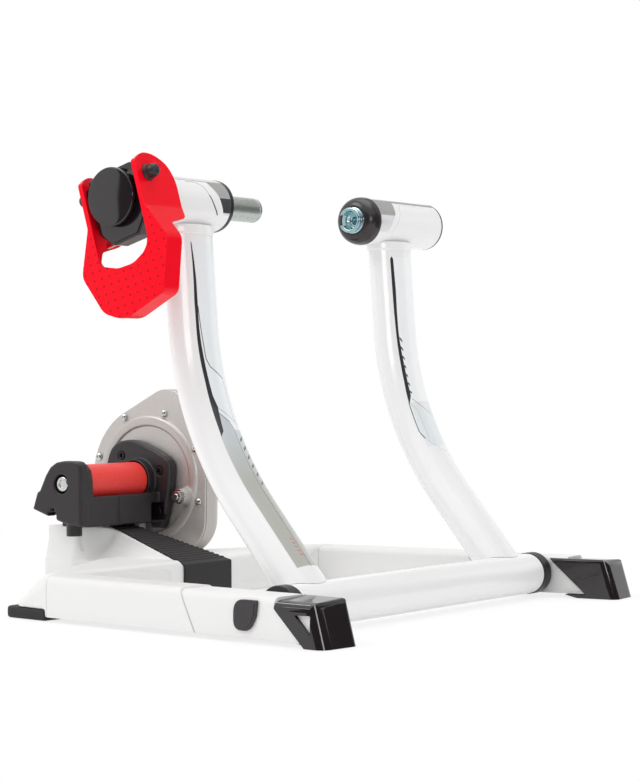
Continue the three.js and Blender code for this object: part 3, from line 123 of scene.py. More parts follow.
# %% Camera
CAMERA_PLACE = place(1156.2, -1729.3, 227.0)
CAMERA_YAW, CAMERA_PITCH, CAMERA_ROLL = 0.634, 0.004, -0.006
FOCAL_PIXELS, TALL_PIXELS = 2145.15, 780

right = Vector((math.cos(CAMERA_YAW), math.sin(CAMERA_YAW), 0))
ahead = Vector((-math.sin(CAMERA_YAW) * math.cos(CAMERA_PITCH),
                math.cos(CAMERA_YAW) * math.cos(CAMERA_PITCH), -math.sin(CAMERA_PITCH)))
up = right.cross(ahead)
tilted_right = right * math.cos(CAMERA_ROLL) + up * math.sin(CAMERA_ROLL)
tilted_up = up * math.cos(CAMERA_ROLL) - right * math.sin(CAMERA_ROLL)

lens = bpy.data.cameras.new("camera")
camera = bpy.data.objects.new("camera", lens)
bpy.context.scene.collection.objects.link(camera)
camera.rotation_euler = Matrix((tilted_right, tilted_up, -ahead)).transposed().to_euler()
camera.location = CAMERA_PLACE
lens.sensor_width = 36
lens.lens = FOCAL_PIXELS / TALL_PIXELS * lens.sensor_width
lens.clip_end = 50
bpy.context.scene.camera = camera
print("lens:", round(lens.lens, 1), "mm")

# %% [markdown]
# ## Modelling helpers
# Most pieces are either an outline pushed straight through, like a punched plate, or a
# profile spun about a line, like a turned bush. Both start from one point that is extruded
# along the outline, as one would draw it by hand. Corners are rounded in the outline itself,
# and a Bevel modifier softens the other edges, because a sharp edge never catches light.
# Weighted Normal then keeps the flat faces flat, so their reflections stay straight.


# %% Select, and draw an outline
def clear_selection():
    if bpy.context.mode != "OBJECT":
        bpy.ops.object.mode_set(mode="OBJECT")
    bpy.ops.object.select_all(action="DESELECT")


def pick(piece):
    clear_selection()
    piece.select_set(True)
    bpy.context.view_layer.objects.active = piece


def rounded(corners, steps=6, closed=True):
    points = []
    count = len(corners)
    for i, (a, b, *rest) in enumerate(corners):
        here = Vector((a, b))
        radius = rest[0] if rest else 0
        if radius == 0 or (not closed and i in (0, count - 1)):
            points.append(here)
            continue
        before = Vector(corners[i - 1][:2]) - here
        after = Vector(corners[(i + 1) % count][:2]) - here
        reach = min(radius, 0.48 * min(before.length, after.length))
        start, end = here + before.normalized() * reach, here + after.normalized() * reach
        for k in range(steps + 1):
            t = k / steps
            points.append(start * (1 - t) ** 2 + here * 2 * t * (1 - t) + end * t**2)
    return points


def draw(name, points):
    clear_selection()
    bpy.ops.mesh.primitive_plane_add(size=MM, location=(0, 0, 0))
    piece = bpy.context.active_object
    piece.name = piece.data.name = name
    bpy.ops.object.mode_set(mode="EDIT")
    bpy.ops.mesh.select_all(action="SELECT")
    bpy.ops.mesh.merge(type="CENTER")
    bpy.ops.transform.translate(value=points[0])
    for before, after in zip(points, points[1:]):
        bpy.ops.mesh.extrude_vertices_move(TRANSFORM_OT_translate={"value": after - before})
    return piece


# %% [markdown]
# ## Finishing a mesh
# After each push or spin, points that lie on each other are merged and the faces are turned
# outwards. A modifier is applied at once, so that each piece ends as a plain mesh.


# %% Clean, apply and soften
def tidy_faces():
    bpy.ops.mesh.select_all(action="SELECT")
    bpy.ops.mesh.remove_doubles(threshold=0.01 * MM)
    bpy.ops.mesh.normals_make_consistent(inside=False)
    bpy.ops.object.mode_set(mode="OBJECT")


def shaped(piece, kind, **settings):
    pick(piece)
    modifier = piece.modifiers.new(kind.title(), kind)
    for setting, value in settings.items():
        setattr(modifier, setting, value)
    bpy.ops.object.modifier_apply(modifier=modifier.name)
    return piece


def soften(piece, width=0.0, segments=3, angle=34):
    if width:
        shaped(piece, "BEVEL", width=width * MM, segments=segments, limit_method="ANGLE",
               angle_limit=math.radians(angle), harden_normals=False)
    pick(piece)
    bpy.ops.object.shade_smooth_by_angle(angle=math.radians(angle))
    return shaped(piece, "WEIGHTED_NORMAL", keep_sharp=True)


# %% [markdown]
# ## Pushing, spinning and joining
# `into` turns an outline's own two coordinates, and how far it is pushed, into the model's,
# so one outline can lie in any plane. A Boolean cuts with a second piece, which then goes.


# %% Push, spin, join and carve
def pushed(name, corners, start, end, into, bevel=0.0, segments=3, steps=6):
    points = rounded(corners, steps)
    piece = draw(name, [into(a, b, start) for a, b in points])
    bpy.ops.mesh.select_all(action="SELECT")
    bpy.ops.mesh.edge_face_add()
    a, b = points[0]
    through = into(a, b, end) - into(a, b, start)
    bpy.ops.mesh.extrude_region_move(TRANSFORM_OT_translate={"value": through})
    tidy_faces()
    return soften(piece, bevel, segments)


def spun(name, profile, into, sides=80, steps=5, closed=False, angle=34):
    points = [into(a, b) for a, b in rounded(profile, steps, closed)]
    if closed:
        points.append(points[0])
    piece = draw(name, points)
    centre, axis = into(0, 0), (into(0, 1) - into(0, 0)).normalized()
    bpy.ops.mesh.select_all(action="SELECT")
    bpy.ops.mesh.spin(steps=sides, angle=2 * math.pi, center=centre, axis=axis)
    tidy_faces()
    return soften(piece, angle=angle)


def about_y(x, z):
    return lambda radius, along: place(x + radius, along, z)


def joined(name, *parts):
    clear_selection()
    for part in parts:
        part.select_set(True)
    bpy.context.view_layer.objects.active = parts[0]
    bpy.ops.object.join()
    parts[0].name = parts[0].data.name = name
    return parts[0]


def carved(piece, *cutters, operation="DIFFERENCE"):
    for cutter in cutters:
        shaped(piece, "BOOLEAN", object=cutter, operation=operation, solver="EXACT")
        bpy.data.objects.remove(cutter)
    return piece


# %% [markdown]
# ## Material helpers
# Colours are read from the photograph as sRGB hex values, and one function turns them into
# the linear values that shaders work in. One more function adds a node, sets it and links
# it. Each finish starts with the same few lines, so they get a function too.


# %% Colours, nodes and finishes
def colour(code):
    parts = [((code >> shift) & 255) / 255 for shift in (16, 8, 0)]
    linear = [p / 12.92 if p <= 0.04045 else ((p + 0.055) / 1.055) ** 2.4 for p in parts]
    return (*linear, 1)


MATH = "ShaderNodeMath"


def add(tree, kind, links=None, **settings):
    node = tree.nodes.new(kind)
    for setting, value in settings.items():
        setattr(node, setting, value)
    for socket, value in (links or {}).items():
        if isinstance(value, bpy.types.Node):
            value = value.outputs[0]
        if isinstance(value, bpy.types.NodeSocket):
            tree.links.new(value, node.inputs[socket])
        else:
            node.inputs[socket].default_value = value
    return node


def finish(name, base, roughness, metallic=0.0, coat=0.0, ior=1.5):
    material = bpy.data.materials.new(name)
    material.use_nodes = True
    tree = material.node_tree
    shader = tree.nodes["Principled BSDF"]
    shader.inputs["Base Color"].default_value = colour(base)
    shader.inputs["Roughness"].default_value = roughness
    shader.inputs["Metallic"].default_value = metallic
    shader.inputs["Coat Weight"].default_value = coat
    if metallic == 0:
        shader.inputs["IOR"].default_value = ior
    return material, tree, shader


# %% [markdown]
# ## Grain and tint
# No real surface is even. `grain` is noise in real millimetres that lifts the surface a
# little, `varied` lets it change how rough the surface is, and `tinted` its colour.


# %% Grain, variation and tint
def grain(tree, shader, size, depth, detail=2.0, stretch=(1, 1, 1)):
    where = add(tree, "ShaderNodeTexCoord").outputs["Object"]
    stretched = add(tree, "ShaderNodeMapping", {"Vector": where, "Scale": stretch})
    noise = add(tree, "ShaderNodeTexNoise",
                {"Vector": stretched, "Scale": 1 / (size * MM), "Detail": detail})
    bump = add(tree, "ShaderNodeBump",
               {"Height": noise.outputs["Fac"], "Distance": depth * MM, "Strength": 1.0})
    tree.links.new(bump.outputs["Normal"], shader.inputs["Normal"])
    return noise.outputs["Fac"]


def varied(tree, shader, value, low, high, socket="Roughness"):
    spread = add(tree, "ShaderNodeMapRange", {"Value": value, "From Min": 0.3, "From Max": 0.7,
                                              "To Min": low, "To Max": high})
    tree.links.new(spread.outputs["Result"], shader.inputs[socket])


def tinted(tree, shader, value, dark, light):
    mix = add(tree, "ShaderNodeMix", data_type="RGBA")
    mix.inputs["A"].default_value, mix.inputs["B"].default_value = colour(dark), colour(light)
    spread = add(tree, "ShaderNodeMapRange", {"Value": value, "From Min": 0.3, "From Max": 0.7})
    tree.links.new(spread.outputs["Result"], mix.inputs["Factor"])
    tree.links.new(mix.outputs["Result"], shader.inputs["Base Color"])


# %% [markdown]
# ## White finishes
# The steel frame has a gloss powder coat. It flows as it bakes, which leaves a faint orange
# peel, about 3 mm wide: reflections are sharp but waver a little. The base is white ABS. Its
# mould was spark-eroded, which leaves a fine grain and a softer shine. The real grain is
# finer than the 0.9 mm drawn here, but would not show.

# %% Powder coat and white ABS
WHITE, LEVER_RED = 0xF3F3F3, 0xF80420

powder_coat, tree, shader = finish("white gloss powder coat", WHITE, 0.2, coat=0.3)
varied(tree, shader, grain(tree, shader, 3.0, 0.02), 0.17, 0.26)

white_abs, tree, shader = finish("white moulded ABS", 0xEBEBEA, 0.42)
varied(tree, shader, grain(tree, shader, 0.9, 0.015), 0.38, 0.5)

print("white finishes:", powder_coat.name, "and", white_abs.name)

# %% [markdown]
# ## Black finishes
# Glass-filled nylon is matt, with fibres near its skin that show as paler specks. Gloss ABS
# comes from a polished mould and mirrors the room, with long soft waves 25 mm wide. Satin
# nylon lies between the two. Rubber is dull, and its worn grain is the palest of the blacks.
# Grains under 1 mm are drawn a little coarser than they are, so that they show.

# %% Nylon, ABS and rubber
black_nylon, tree, shader = finish("black glass-filled nylon", 0x272325, 0.42)
pattern = grain(tree, shader, 0.8, 0.03, detail=4)
varied(tree, shader, pattern, 0.34, 0.5)
tinted(tree, shader, pattern, 0x231E21, 0x2C272A)

black_gloss, tree, shader = finish("black gloss ABS", 0x1E191C, 0.05, ior=1.6)
varied(tree, shader, grain(tree, shader, 25.0, 0.004), 0.03, 0.07)

black_satin, tree, shader = finish("black satin nylon", 0x282226, 0.26, ior=1.55)
varied(tree, shader, grain(tree, shader, 3.0, 0.002), 0.23, 0.27)

black_rubber, tree, shader = finish("black moulded rubber", 0x232122, 0.75)
pattern = grain(tree, shader, 1.2, 0.05, detail=5)
varied(tree, shader, pattern, 0.6, 0.9)
tinted(tree, shader, pattern, 0x1F1D1E, 0x343133)

print("black finishes:", black_nylon.name, black_gloss.name, black_satin.name, black_rubber.name,
      sep=", ")

# %% [markdown]
# ## Metal finishes
# Zinc plate is bright, and its clear chromate tints it in cold and warm patches. The turned
# bar keeps fine tool marks, which blur its shine, and the cup has the bluer chromate. Ground
# steel is streaked along the grinding. Black oxide is a thin dark film that still shines
# like metal. The brake housing is an aluminium casting under a warm grey satin coat.

# %% Zinc, steel and coated casting
zinc_plate, tree, shader = finish("zinc plated steel", 0xC9CDC9, 0.2, metallic=1.0)
pattern = grain(tree, shader, 5.0, 0.004)
varied(tree, shader, pattern, 0.15, 0.26)
tinted(tree, shader, pattern, 0xC3C9CB, 0xD9D8CE)

turned_zinc, tree, shader = finish("zinc plated turned bar", 0xBFC4C2, 0.34, metallic=1.0)
pattern = grain(tree, shader, 1.6, 0.004, detail=4)
varied(tree, shader, pattern, 0.28, 0.4)
tinted(tree, shader, pattern, 0xAAB4BC, 0xD3D6C6)

blue_zinc, tree, shader = finish("zinc plated steel with blue chromate", 0xA9CBD3, 0.22,
                                 metallic=1.0)
pattern = grain(tree, shader, 3.0, 0.004)
varied(tree, shader, pattern, 0.16, 0.28)
tinted(tree, shader, pattern, 0x9FC6D2, 0xC4D6D4)

bare_steel, tree, shader = finish("ground bare steel", 0xB9BBBD, 0.3, metallic=1.0)
varied(tree, shader, grain(tree, shader, 0.8, 0.01, stretch=(1, 12, 1)), 0.22, 0.4)

black_oxide, tree, shader = finish("black oxide steel", 0x2B292A, 0.35, metallic=0.6)
varied(tree, shader, grain(tree, shader, 0.7, 0.01), 0.28, 0.45)

housing_coat, tree, shader = finish("warm grey coated casting", 0xC6C1BD, 0.34, metallic=0.6)
pattern = grain(tree, shader, 1.4, 0.03, detail=6)
varied(tree, shader, pattern, 0.32, 0.48)
tinted(tree, shader, pattern, 0xC1BCB8, 0xCBC7C4)

print("metal finishes:", zinc_plate.name, turned_zinc.name, blue_zinc.name, housing_coat.name,
      sep=", ")

# %% [markdown]
# ## Red finishes
# The lever is gloss ABS in a strong red, which shines less than its smoothness suggests, so
# its specular level is low. The roller is cast polyurethane, a tough rubber-like plastic.
# The tyre has scuffed it, which gives it a soft shine and a slightly uneven red.

# %% Lever and roller red
red_gloss, tree, shader = finish("red gloss ABS", LEVER_RED, 0.2)
shader.inputs["Specular IOR Level"].default_value = 0.15

roller_rubber, tree, shader = finish("red cast polyurethane", 0xEE3A36, 0.42)
pattern = grain(tree, shader, 2.2, 0.04, detail=6)
varied(tree, shader, pattern, 0.34, 0.55)
tinted(tree, shader, pattern, 0xE83430, 0xF4463F)

print("finishes:", len(bpy.data.materials))


# %% [markdown]
# ## Dressing a piece
# Each finished piece gets its material and rides on the body that it moves with, and the CAD
# pieces that it stands for are hidden.


# %% Put a finish and a body on a piece
def dress(piece, material, body, slot, *nodes):
    piece.data.materials.clear()
    piece.data.materials.append(material)
    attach(piece, body)
    if nodes:
        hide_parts(*nodes)
    print(piece.name, "in", material.name, "rides on", body)


# %% [markdown]
# ## Dimples of the clamp lever
# The grip face of the lever has rows of small dots, about 8 mm apart, square to the lever.
# A Voronoi texture with no randomness gives an even grid, and its distance makes the dots.
# The dots are raised a little by a bump and painted a darker red, as painted shade.
# The pattern is turned with the head, the face's own normal keeps it off the sides, and it
# stays below the third row under the hub line.

# %% Lever dots
# The dots' darker red is painted shade, not a colour of the plastic.
DOT_ACROSS, DOT_UP, DOT_DEPTH, DOT_SHADE_RED = 9.2, 7.6, 0.12, 0xC40A20

tree = red_gloss.node_tree
shader = tree.nodes["Principled BSDF"]
where = add(tree, "ShaderNodeTexCoord").outputs["Object"]
on_lever = add(tree, "ShaderNodeMapping", {"Vector": where, "Location": -place(HUB_X, 0, HUB_Z)})
squared = add(tree, "ShaderNodeMapping", {
    "Vector": on_lever, "Rotation": (0, HEAD_TURN, 0),
    "Scale": (1 / (DOT_ACROSS * MM), 0, 1 / (DOT_UP * MM))})
cells = add(tree, "ShaderNodeTexVoronoi", {"Vector": squared, "Scale": 1.0, "Randomness": 0.0})
dots = add(tree, "ShaderNodeMapRange", {
    "Value": cells.outputs["Distance"], "From Min": 0.09, "From Max": 0.2,
    "To Min": 1.0, "To Max": 0.0}, interpolation_type="SMOOTHSTEP")
normal = add(tree, "ShaderNodeNewGeometry").outputs["Normal"]
facing = add(tree, "ShaderNodeSeparateXYZ", {"Vector": normal})
front = add(tree, MATH, {0: facing.outputs["Y"], 1: -0.97}, operation="LESS_THAN")
heights = add(tree, "ShaderNodeSeparateXYZ", {"Vector": squared})
grip = add(tree, MATH, {0: heights.outputs["Z"], 1: -3.0}, operation="LESS_THAN")
on_grip = add(tree, MATH, {0: front, 1: grip}, operation="MULTIPLY")
raised = add(tree, MATH, {0: dots.outputs["Result"], 1: on_grip}, operation="MULTIPLY")
bump = add(tree, "ShaderNodeBump", {"Height": raised, "Distance": DOT_DEPTH * MM, "Strength": 1.0})
tree.links.new(bump.outputs["Normal"], shader.inputs["Normal"])
# Painted shade: the raised dots are coloured a darker red than the face.
shade = add(tree, "ShaderNodeMix", {"Factor": raised}, data_type="RGBA")
shade.inputs["A"].default_value = colour(LEVER_RED)
shade.inputs["B"].default_value = colour(DOT_SHADE_RED)
tree.links.new(shade.outputs["Result"], shader.inputs["Base Color"])
print("lever dots every", DOT_ACROSS, "by", DOT_UP, "mm")

# %% [markdown]
# ## Stripes on the uprights
# Each upright carries dark swept lines, and the right one a long grey panel. They follow the
# bent oval tube, so they are drawn in the tube's own coordinates: how far along it, and how
# many degrees round it from its front, positive outwards. These two numbers become a UV map,
# and the material reads them. Short plain ticks fill the rest of the decoration.

# %% The upright's run
LOWER_LEAN, UPPER_LEAN = math.radians(39.8), math.radians(4)
BEND_RADIUS, LOWER_RUN, UPPER_RUN = 305, 108.77, 113.85
TUBE_RUN = LOWER_RUN + BEND_RADIUS * (LOWER_LEAN - UPPER_LEAN) + UPPER_RUN
TUBE_FORE, TUBE_SIDE = 36, 60
GIRTH_PER_DEGREE = math.radians(TUBE_SIDE / 2)
print("each upright is", round(TUBE_RUN, 1), "mm long")

# %% [markdown]
# ## Masks and curves
# A mask is 1 where an ink is printed and 0 elsewhere. `between` is such a mask, and `area` is
# one for a patch. `graph` is a curve through given points, for an edge that sweeps along the
# tube, and `swept` is a stripe that follows such a curve with a width of its own.


# %% Masks and curves
def between(tree, value, low, high):
    above = add(tree, MATH, {0: value, 1: low}, operation="GREATER_THAN")
    below = add(tree, MATH, {0: value, 1: high}, operation="LESS_THAN")
    return add(tree, MATH, {0: above, 1: below}, operation="MULTIPLY")


def area(tree, along, start, end, turn, inner, outer):
    length, width = between(tree, along, start, end), between(tree, turn, inner, outer)
    return add(tree, MATH, {0: length, 1: width}, operation="MULTIPLY")


def graph(tree, value, low, high, points, reach=60):
    past_low = add(tree, MATH, {0: value, 1: low}, operation="SUBTRACT")
    share = add(tree, MATH, {0: past_low, 1: high - low}, operation="DIVIDE")
    curve = add(tree, "ShaderNodeFloatCurve", {"Value": share})
    line = curve.mapping.curves[0]
    for i, (at, height) in enumerate(points):
        spot = ((at - low) / (high - low), 0.5 + height / (2 * reach))
        if i < 2:
            line.points[i].location = spot
        else:
            line.points.new(*spot)
    for point in line.points:
        point.handle_type = "VECTOR"
    curve.mapping.update()
    centred = add(tree, MATH, {0: curve, 1: 0.5}, operation="SUBTRACT")
    return add(tree, MATH, {0: centred, 1: 2 * reach}, operation="MULTIPLY")


def swept(tree, turn, middle, half):
    from_middle = add(tree, MATH, {0: turn, 1: middle}, operation="SUBTRACT")
    distance = add(tree, MATH, {0: from_middle}, operation="ABSOLUTE")
    return from_middle, add(tree, MATH, {0: distance, 1: half}, operation="LESS_THAN")


# %% [markdown]
# ## Lines, ticks and inks
# A line runs from point to point in millimetres: how far a spot lies off the line, and how
# far along it, decide whether it is inked. Ticks repeat along the tube and lean with the turn
# round it. Each ink is laid over those before it.


# %% Lines, ticks and inks
TICK_SHARE = 0.3


def strokes(tree, along, girth, half, points, per_degree=GIRTH_PER_DEGREE):
    drawn = 0.0
    for (s0, a0), (s1, a1) in zip(points, points[1:]):
        run, rise = s1 - s0, (a1 - a0) * per_degree
        length = math.hypot(run, rise)
        from_start = add(tree, MATH, {0: along, 1: s0}, operation="SUBTRACT")
        from_side = add(tree, MATH, {0: girth, 1: a0 * per_degree}, operation="SUBTRACT")
        side_off = add(tree, MATH, {0: from_side, 1: run / length}, operation="MULTIPLY")
        start_off = add(tree, MATH, {0: from_start, 1: rise / length}, operation="MULTIPLY")
        off = add(tree, MATH, {0: side_off, 1: start_off}, operation="SUBTRACT")
        start_on = add(tree, MATH, {0: from_start, 1: run / length}, operation="MULTIPLY")
        side_on = add(tree, MATH, {0: from_side, 1: rise / length}, operation="MULTIPLY")
        on = add(tree, MATH, {0: start_on, 1: side_on}, operation="ADD")
        distance = add(tree, MATH, {0: off}, operation="ABSOLUTE")
        near = add(tree, MATH, {0: distance, 1: half}, operation="LESS_THAN")
        within = between(tree, on, -half, length + half)
        stretch = add(tree, MATH, {0: near, 1: within}, operation="MULTIPLY")
        drawn = add(tree, MATH, {0: drawn, 1: stretch}, operation="MAXIMUM")
    return drawn


def ticks(tree, along, turn, start, end, inner, outer, pitch, slant):
    shift = add(tree, MATH, {0: turn, 1: slant}, operation="MULTIPLY")
    leaning = add(tree, MATH, {0: along, 1: shift}, operation="ADD")
    wave = add(tree, MATH, {0: leaning, 1: pitch}, operation="PINGPONG")
    tick = add(tree, MATH, {0: wave, 1: pitch * TICK_SHARE}, operation="LESS_THAN")
    patch = area(tree, along, start, end, turn, inner, outer)
    return add(tree, MATH, {0: tick, 1: patch}, operation="MULTIPLY")


def printed(tree, under, mask, code):
    layer = add(tree, "ShaderNodeMix", {"Factor": mask}, data_type="RGBA")
    if isinstance(under, int):
        layer.inputs["A"].default_value = colour(under)
    else:
        tree.links.new(under, layer.inputs["A"])
    layer.inputs["B"].default_value = colour(code)
    return layer.outputs["Result"]


# %% [markdown]
# ## Paint of an upright
# Both uprights have the frame's powder coat, with the stripes under its gloss. The paint
# reads the tube's own UV map and turns it into millimetres along and degrees round.


# %% Paint that knows the tube
def tube_paint(name):
    paint, tree, shader = finish(name, WHITE, 0.2, coat=0.3)
    varied(tree, shader, grain(tree, shader, 3.0, 0.02), 0.17, 0.26)
    tube_map = add(tree, "ShaderNodeUVMap", uv_map="along the tube")
    spot = add(tree, "ShaderNodeSeparateXYZ", {"Vector": tube_map})
    along = add(tree, MATH, {0: spot.outputs["X"], 1: TUBE_RUN}, operation="MULTIPLY")
    centred = add(tree, MATH, {0: spot.outputs["Y"], 1: 0.5}, operation="SUBTRACT")
    turn = add(tree, MATH, {0: centred, 1: 360}, operation="MULTIPLY")
    girth = add(tree, MATH, {0: turn, 1: GIRTH_PER_DEGREE}, operation="MULTIPLY")
    return paint, tree, shader, along, turn, girth


# %% [markdown]
# ## Right upright's stripes
# A black sweep of uneven width runs up the tube, drawn as a middle line and a half width,
# both in degrees. Beside it lie a grey panel that pales upwards, a cooler white above it,
# thin lines, and two rows of ticks.

# %% Right upright's paint
BLACK_INK, GREY_INK, RED_INK = 0x37363B, 0x9C9FA1, 0xD9545A

right_paint, tree, shader, along, turn, girth = tube_paint(
    "white powder coat with printed stripes, right")
middle = graph(tree, along, 0, TUBE_RUN, [
    (0, 25), (181, 28), (187, 22.6), (198, 21.4), (213, 19.9), (224, 22.2), (240, 22.6),
    (260, 24.1), (280, 25.6), (300, 26.2), (319, 26.5), (338, 25.9), (356, 27.1), (374, 29.9),
    (TUBE_RUN, 30)])
half = graph(tree, along, 0, TUBE_RUN, [
    (0, -1), (181, -0.5), (187, 4.5), (198, 5.7), (213, 7.5), (224, 5.2), (240, 4.6),
    (260, 4.6), (280, 4.0), (300, 3.4), (319, 3.7), (338, 3.2), (356, 2.2), (374, 1.1),
    (376, -1), (TUBE_RUN, -1)])
from_middle, sweep = swept(tree, turn, middle, half)
top = graph(tree, turn, -180, 180, [
    (-180, 188), (-13, 188), (-12, 191), (-5, 197), (14, 206), (17, 199), (28, 183), (180, 183)],
    reach=400)
panel = area(tree, along, 31, top, turn, -52, 28.5)
fade = add(tree, "ShaderNodeMapRange", {"Value": along, "From Min": 130, "From Max": 185})
faded = add(tree, MATH, {0: panel, 1: fade}, operation="MULTIPLY")
beside = add(tree, MATH, {0: from_middle, 1: 0.0}, operation="LESS_THAN")
cool = area(tree, along, 195, 374, turn, -52, 24)
cool = add(tree, MATH, {0: cool, 1: beside}, operation="MULTIPLY")

ink = printed(tree, WHITE, cool, 0xEFF3F5)
ink = printed(tree, ink, panel, 0xB5B6AF)
ink = printed(tree, ink, faded, 0xCAD1D4)
for width, code, points in (
    (0.32, GREY_INK, [(240, -24.5), (209, -28), (201, -24), (193, -38)]),
    (0.3, GREY_INK, [(212, 13.5), (193, -35)]),
    (0.36, 0x6A6868, [(206, 14), (197, -5.5), (190, -11.7), (180, -12.6), (30, -9)]),
    (0.48, 0x505054, [(314, 22.6), (280, 16.8), (262, 14.9), (254, 8), (242, -24)]),
):
    ink = printed(tree, ink, strokes(tree, along, girth, width, points), code)
ink = printed(tree, ink, sweep, BLACK_INK)
ink = printed(tree, ink, ticks(tree, along, turn, 120, 184, -36, -19, 5.0, 0.3), 0x4A4746)
ink = printed(tree, ink, ticks(tree, along, turn, 42, 64, -5, 2, 2.2, -0.2), RED_INK)
tree.links.new(ink, shader.inputs["Base Color"])
print(right_paint.name, "has", len(tree.nodes), "nodes")

# %% [markdown]
# ## Left upright's stripes
# The left upright has a sweep of its own, turned the other way, a brighter and a cooler white
# in front of it, and thin grey edges.

# %% Left upright's paint
left_paint, tree, shader, along, turn, girth = tube_paint(
    "white powder coat with printed stripes, left")
middle = graph(tree, along, 0, TUBE_RUN, [
    (0, -38), (214, -38), (222, -33.8), (239, -32.2), (256, -31.8), (273, -32.9), (296, -34.8),
    (317, -36), (339, -36), (375, -37.6), (TUBE_RUN, -38)])
half = graph(tree, along, 0, TUBE_RUN, [
    (0, -1), (213, -1), (214, 1.5), (222, 5.3), (239, 4.7), (256, 4.8), (273, 4.1), (296, 3.4),
    (317, 4.0), (339, 4.7), (374, 4.0), (375, -1), (TUBE_RUN, -1)])
from_middle, sweep = swept(tree, turn, middle, half)
beside = add(tree, MATH, {0: from_middle, 1: 0.0}, operation="GREATER_THAN")
bright = area(tree, along, 214, 374, turn, -180, 40)
bright = add(tree, MATH, {0: bright, 1: beside}, operation="MULTIPLY")
cool = area(tree, along, 160, 214, turn, -36, 40)

ink = printed(tree, WHITE, bright, 0xF6F8F9)
ink = printed(tree, ink, cool, 0xE6EBED)
for width, code, points in (
    (0.3, 0xC3C7C9, [(171, -32), (165, -23.6), (152, 11)]),
    (0.3, 0xC3C7C9, [(215, -38.5), (203, -22), (185, -21), (166, -22.4)]),
    (0.35, GREY_INK, [(218, -28), (215, -21.5), (205, 2), (196, 28)]),
    (0.6, BLACK_INK, [(214, -39.5), (180, -39.6), (175, -36.3), (171, -32)]),
):
    ink = printed(tree, ink, strokes(tree, along, girth, width, points), code)
ink = printed(tree, ink, sweep, BLACK_INK)
ink = printed(tree, ink, ticks(tree, along, turn, 224, 290, -30, -23, 5.0, 0.6), 0x5A5A5E)
tree.links.new(ink, shader.inputs["Base Color"])
print(left_paint.name, "has", len(tree.nodes), "nodes")

# %% [markdown]
# ## The uprights
# Each upright is an oval tube, 60 mm wide and 36 mm fore and aft, bent once. We start with a
# circle stretched to the oval, extrude the lower straight, spin it round the centre of the
# bend, and extrude the upper straight. Solidify gives the tube its wall, and a Boolean cuts
# the cross tube out of its foot, as a fitter would cope it. A short saddle, hardly wider
# than the tube, carries the hub tube. First comes a function that tells where on the tube
# a point lies, for the UV map.


# %% Tube coordinates
LOWER = Vector((-math.sin(LOWER_LEAN), 0, math.cos(LOWER_LEAN)))
LOWER_IN = Vector((math.cos(LOWER_LEAN), 0, math.sin(LOWER_LEAN)))
UPPER = Vector((-math.sin(UPPER_LEAN), 0, math.cos(UPPER_LEAN)))
UPPER_IN = Vector((math.cos(UPPER_LEAN), 0, math.sin(UPPER_LEAN)))


def tube_coordinates(point, side):
    bend_start = place(0, 0, FOLD_Z) + LOWER * LOWER_RUN * MM
    centre = bend_start + LOWER_IN * BEND_RADIUS * MM
    arm = (point - centre) / MM
    lean = math.atan2(-arm.z, -arm.x)
    if lean > LOWER_LEAN:
        offset = (point - bend_start) / MM
        along, fore = LOWER_RUN + offset.dot(LOWER), offset.dot(LOWER_IN)
    elif lean > UPPER_LEAN:
        along = LOWER_RUN + BEND_RADIUS * (LOWER_LEAN - lean)
        fore = BEND_RADIUS - math.hypot(arm.x, arm.z)
    else:
        offset = (point - (centre - UPPER_IN * BEND_RADIUS * MM)) / MM
        along, fore = TUBE_RUN - UPPER_RUN + offset.dot(UPPER), offset.dot(UPPER_IN)
    out = side * point.y / MM - UPRIGHT_Y
    turn = math.degrees(math.atan2(out / TUBE_SIDE, fore / TUBE_FORE))
    return along / TUBE_RUN, turn / 360 + 0.5


# %% [markdown]
# ## Ovals and round cutters
# An oval is a circle scaled to its two widths, with the scale applied to its mesh. A cope is
# a plain cylinder across the frame, used only to cut.


# %% Oval and cope
def oval(name, middle, lean, fore, across):
    clear_selection()
    bpy.ops.mesh.primitive_circle_add(vertices=96, radius=1, location=middle,
                                      rotation=(0, -lean, 0))
    piece = bpy.context.active_object
    piece.name = piece.data.name = name
    piece.scale = (fore / 2 * MM, across / 2 * MM, 1)
    bpy.ops.object.transform_apply(location=True, rotation=True, scale=True)
    bpy.ops.object.mode_set(mode="EDIT")
    bpy.ops.mesh.select_all(action="SELECT")
    return piece


def cope(radius, x, z, y):
    clear_selection()
    bpy.ops.mesh.primitive_cylinder_add(vertices=96, radius=radius * MM, depth=120 * MM,
                                        location=place(x, y, z), rotation=(math.pi / 2, 0, 0))
    return bpy.context.active_object


# %% [markdown]
# ## Bent tube and saddle
# The tube stops short of the hub tube, inside the saddle. The saddle is an oval pushed up a
# little, leaning as the tube does, with the hub tube's round cut out of its top.

# %% Tube and saddle
TUBE_WALL, TUBE_STOP = 2, 22
CROSS_CUT = 21.05
SADDLE_LOW, SADDLE_TOP, SADDLE_X, SADDLE_RIM = 366.0, 375.5, -147.5, 2.8


def bent_tube(name, side):
    middle = place(0, side * UPRIGHT_Y, FOLD_Z)
    tube = oval(name, middle, LOWER_LEAN, TUBE_FORE, TUBE_SIDE)
    low_part, high_part = LOWER * LOWER_RUN * MM, UPPER * (UPPER_RUN - TUBE_STOP) * MM
    bpy.ops.mesh.extrude_region_move(TRANSFORM_OT_translate={"value": low_part})
    centre = middle + (LOWER * LOWER_RUN + LOWER_IN * BEND_RADIUS) * MM
    bpy.ops.mesh.spin(steps=32, angle=LOWER_LEAN - UPPER_LEAN, center=centre, axis=(0, -1, 0))
    bpy.ops.mesh.extrude_region_move(TRANSFORM_OT_translate={"value": high_part})
    tidy_faces()
    shaped(tube, "SOLIDIFY", thickness=TUBE_WALL * MM, offset=-1, use_rim=True)
    return carved(tube, cope(CROSS_CUT, 0, FOLD_Z, side * UPRIGHT_Y))


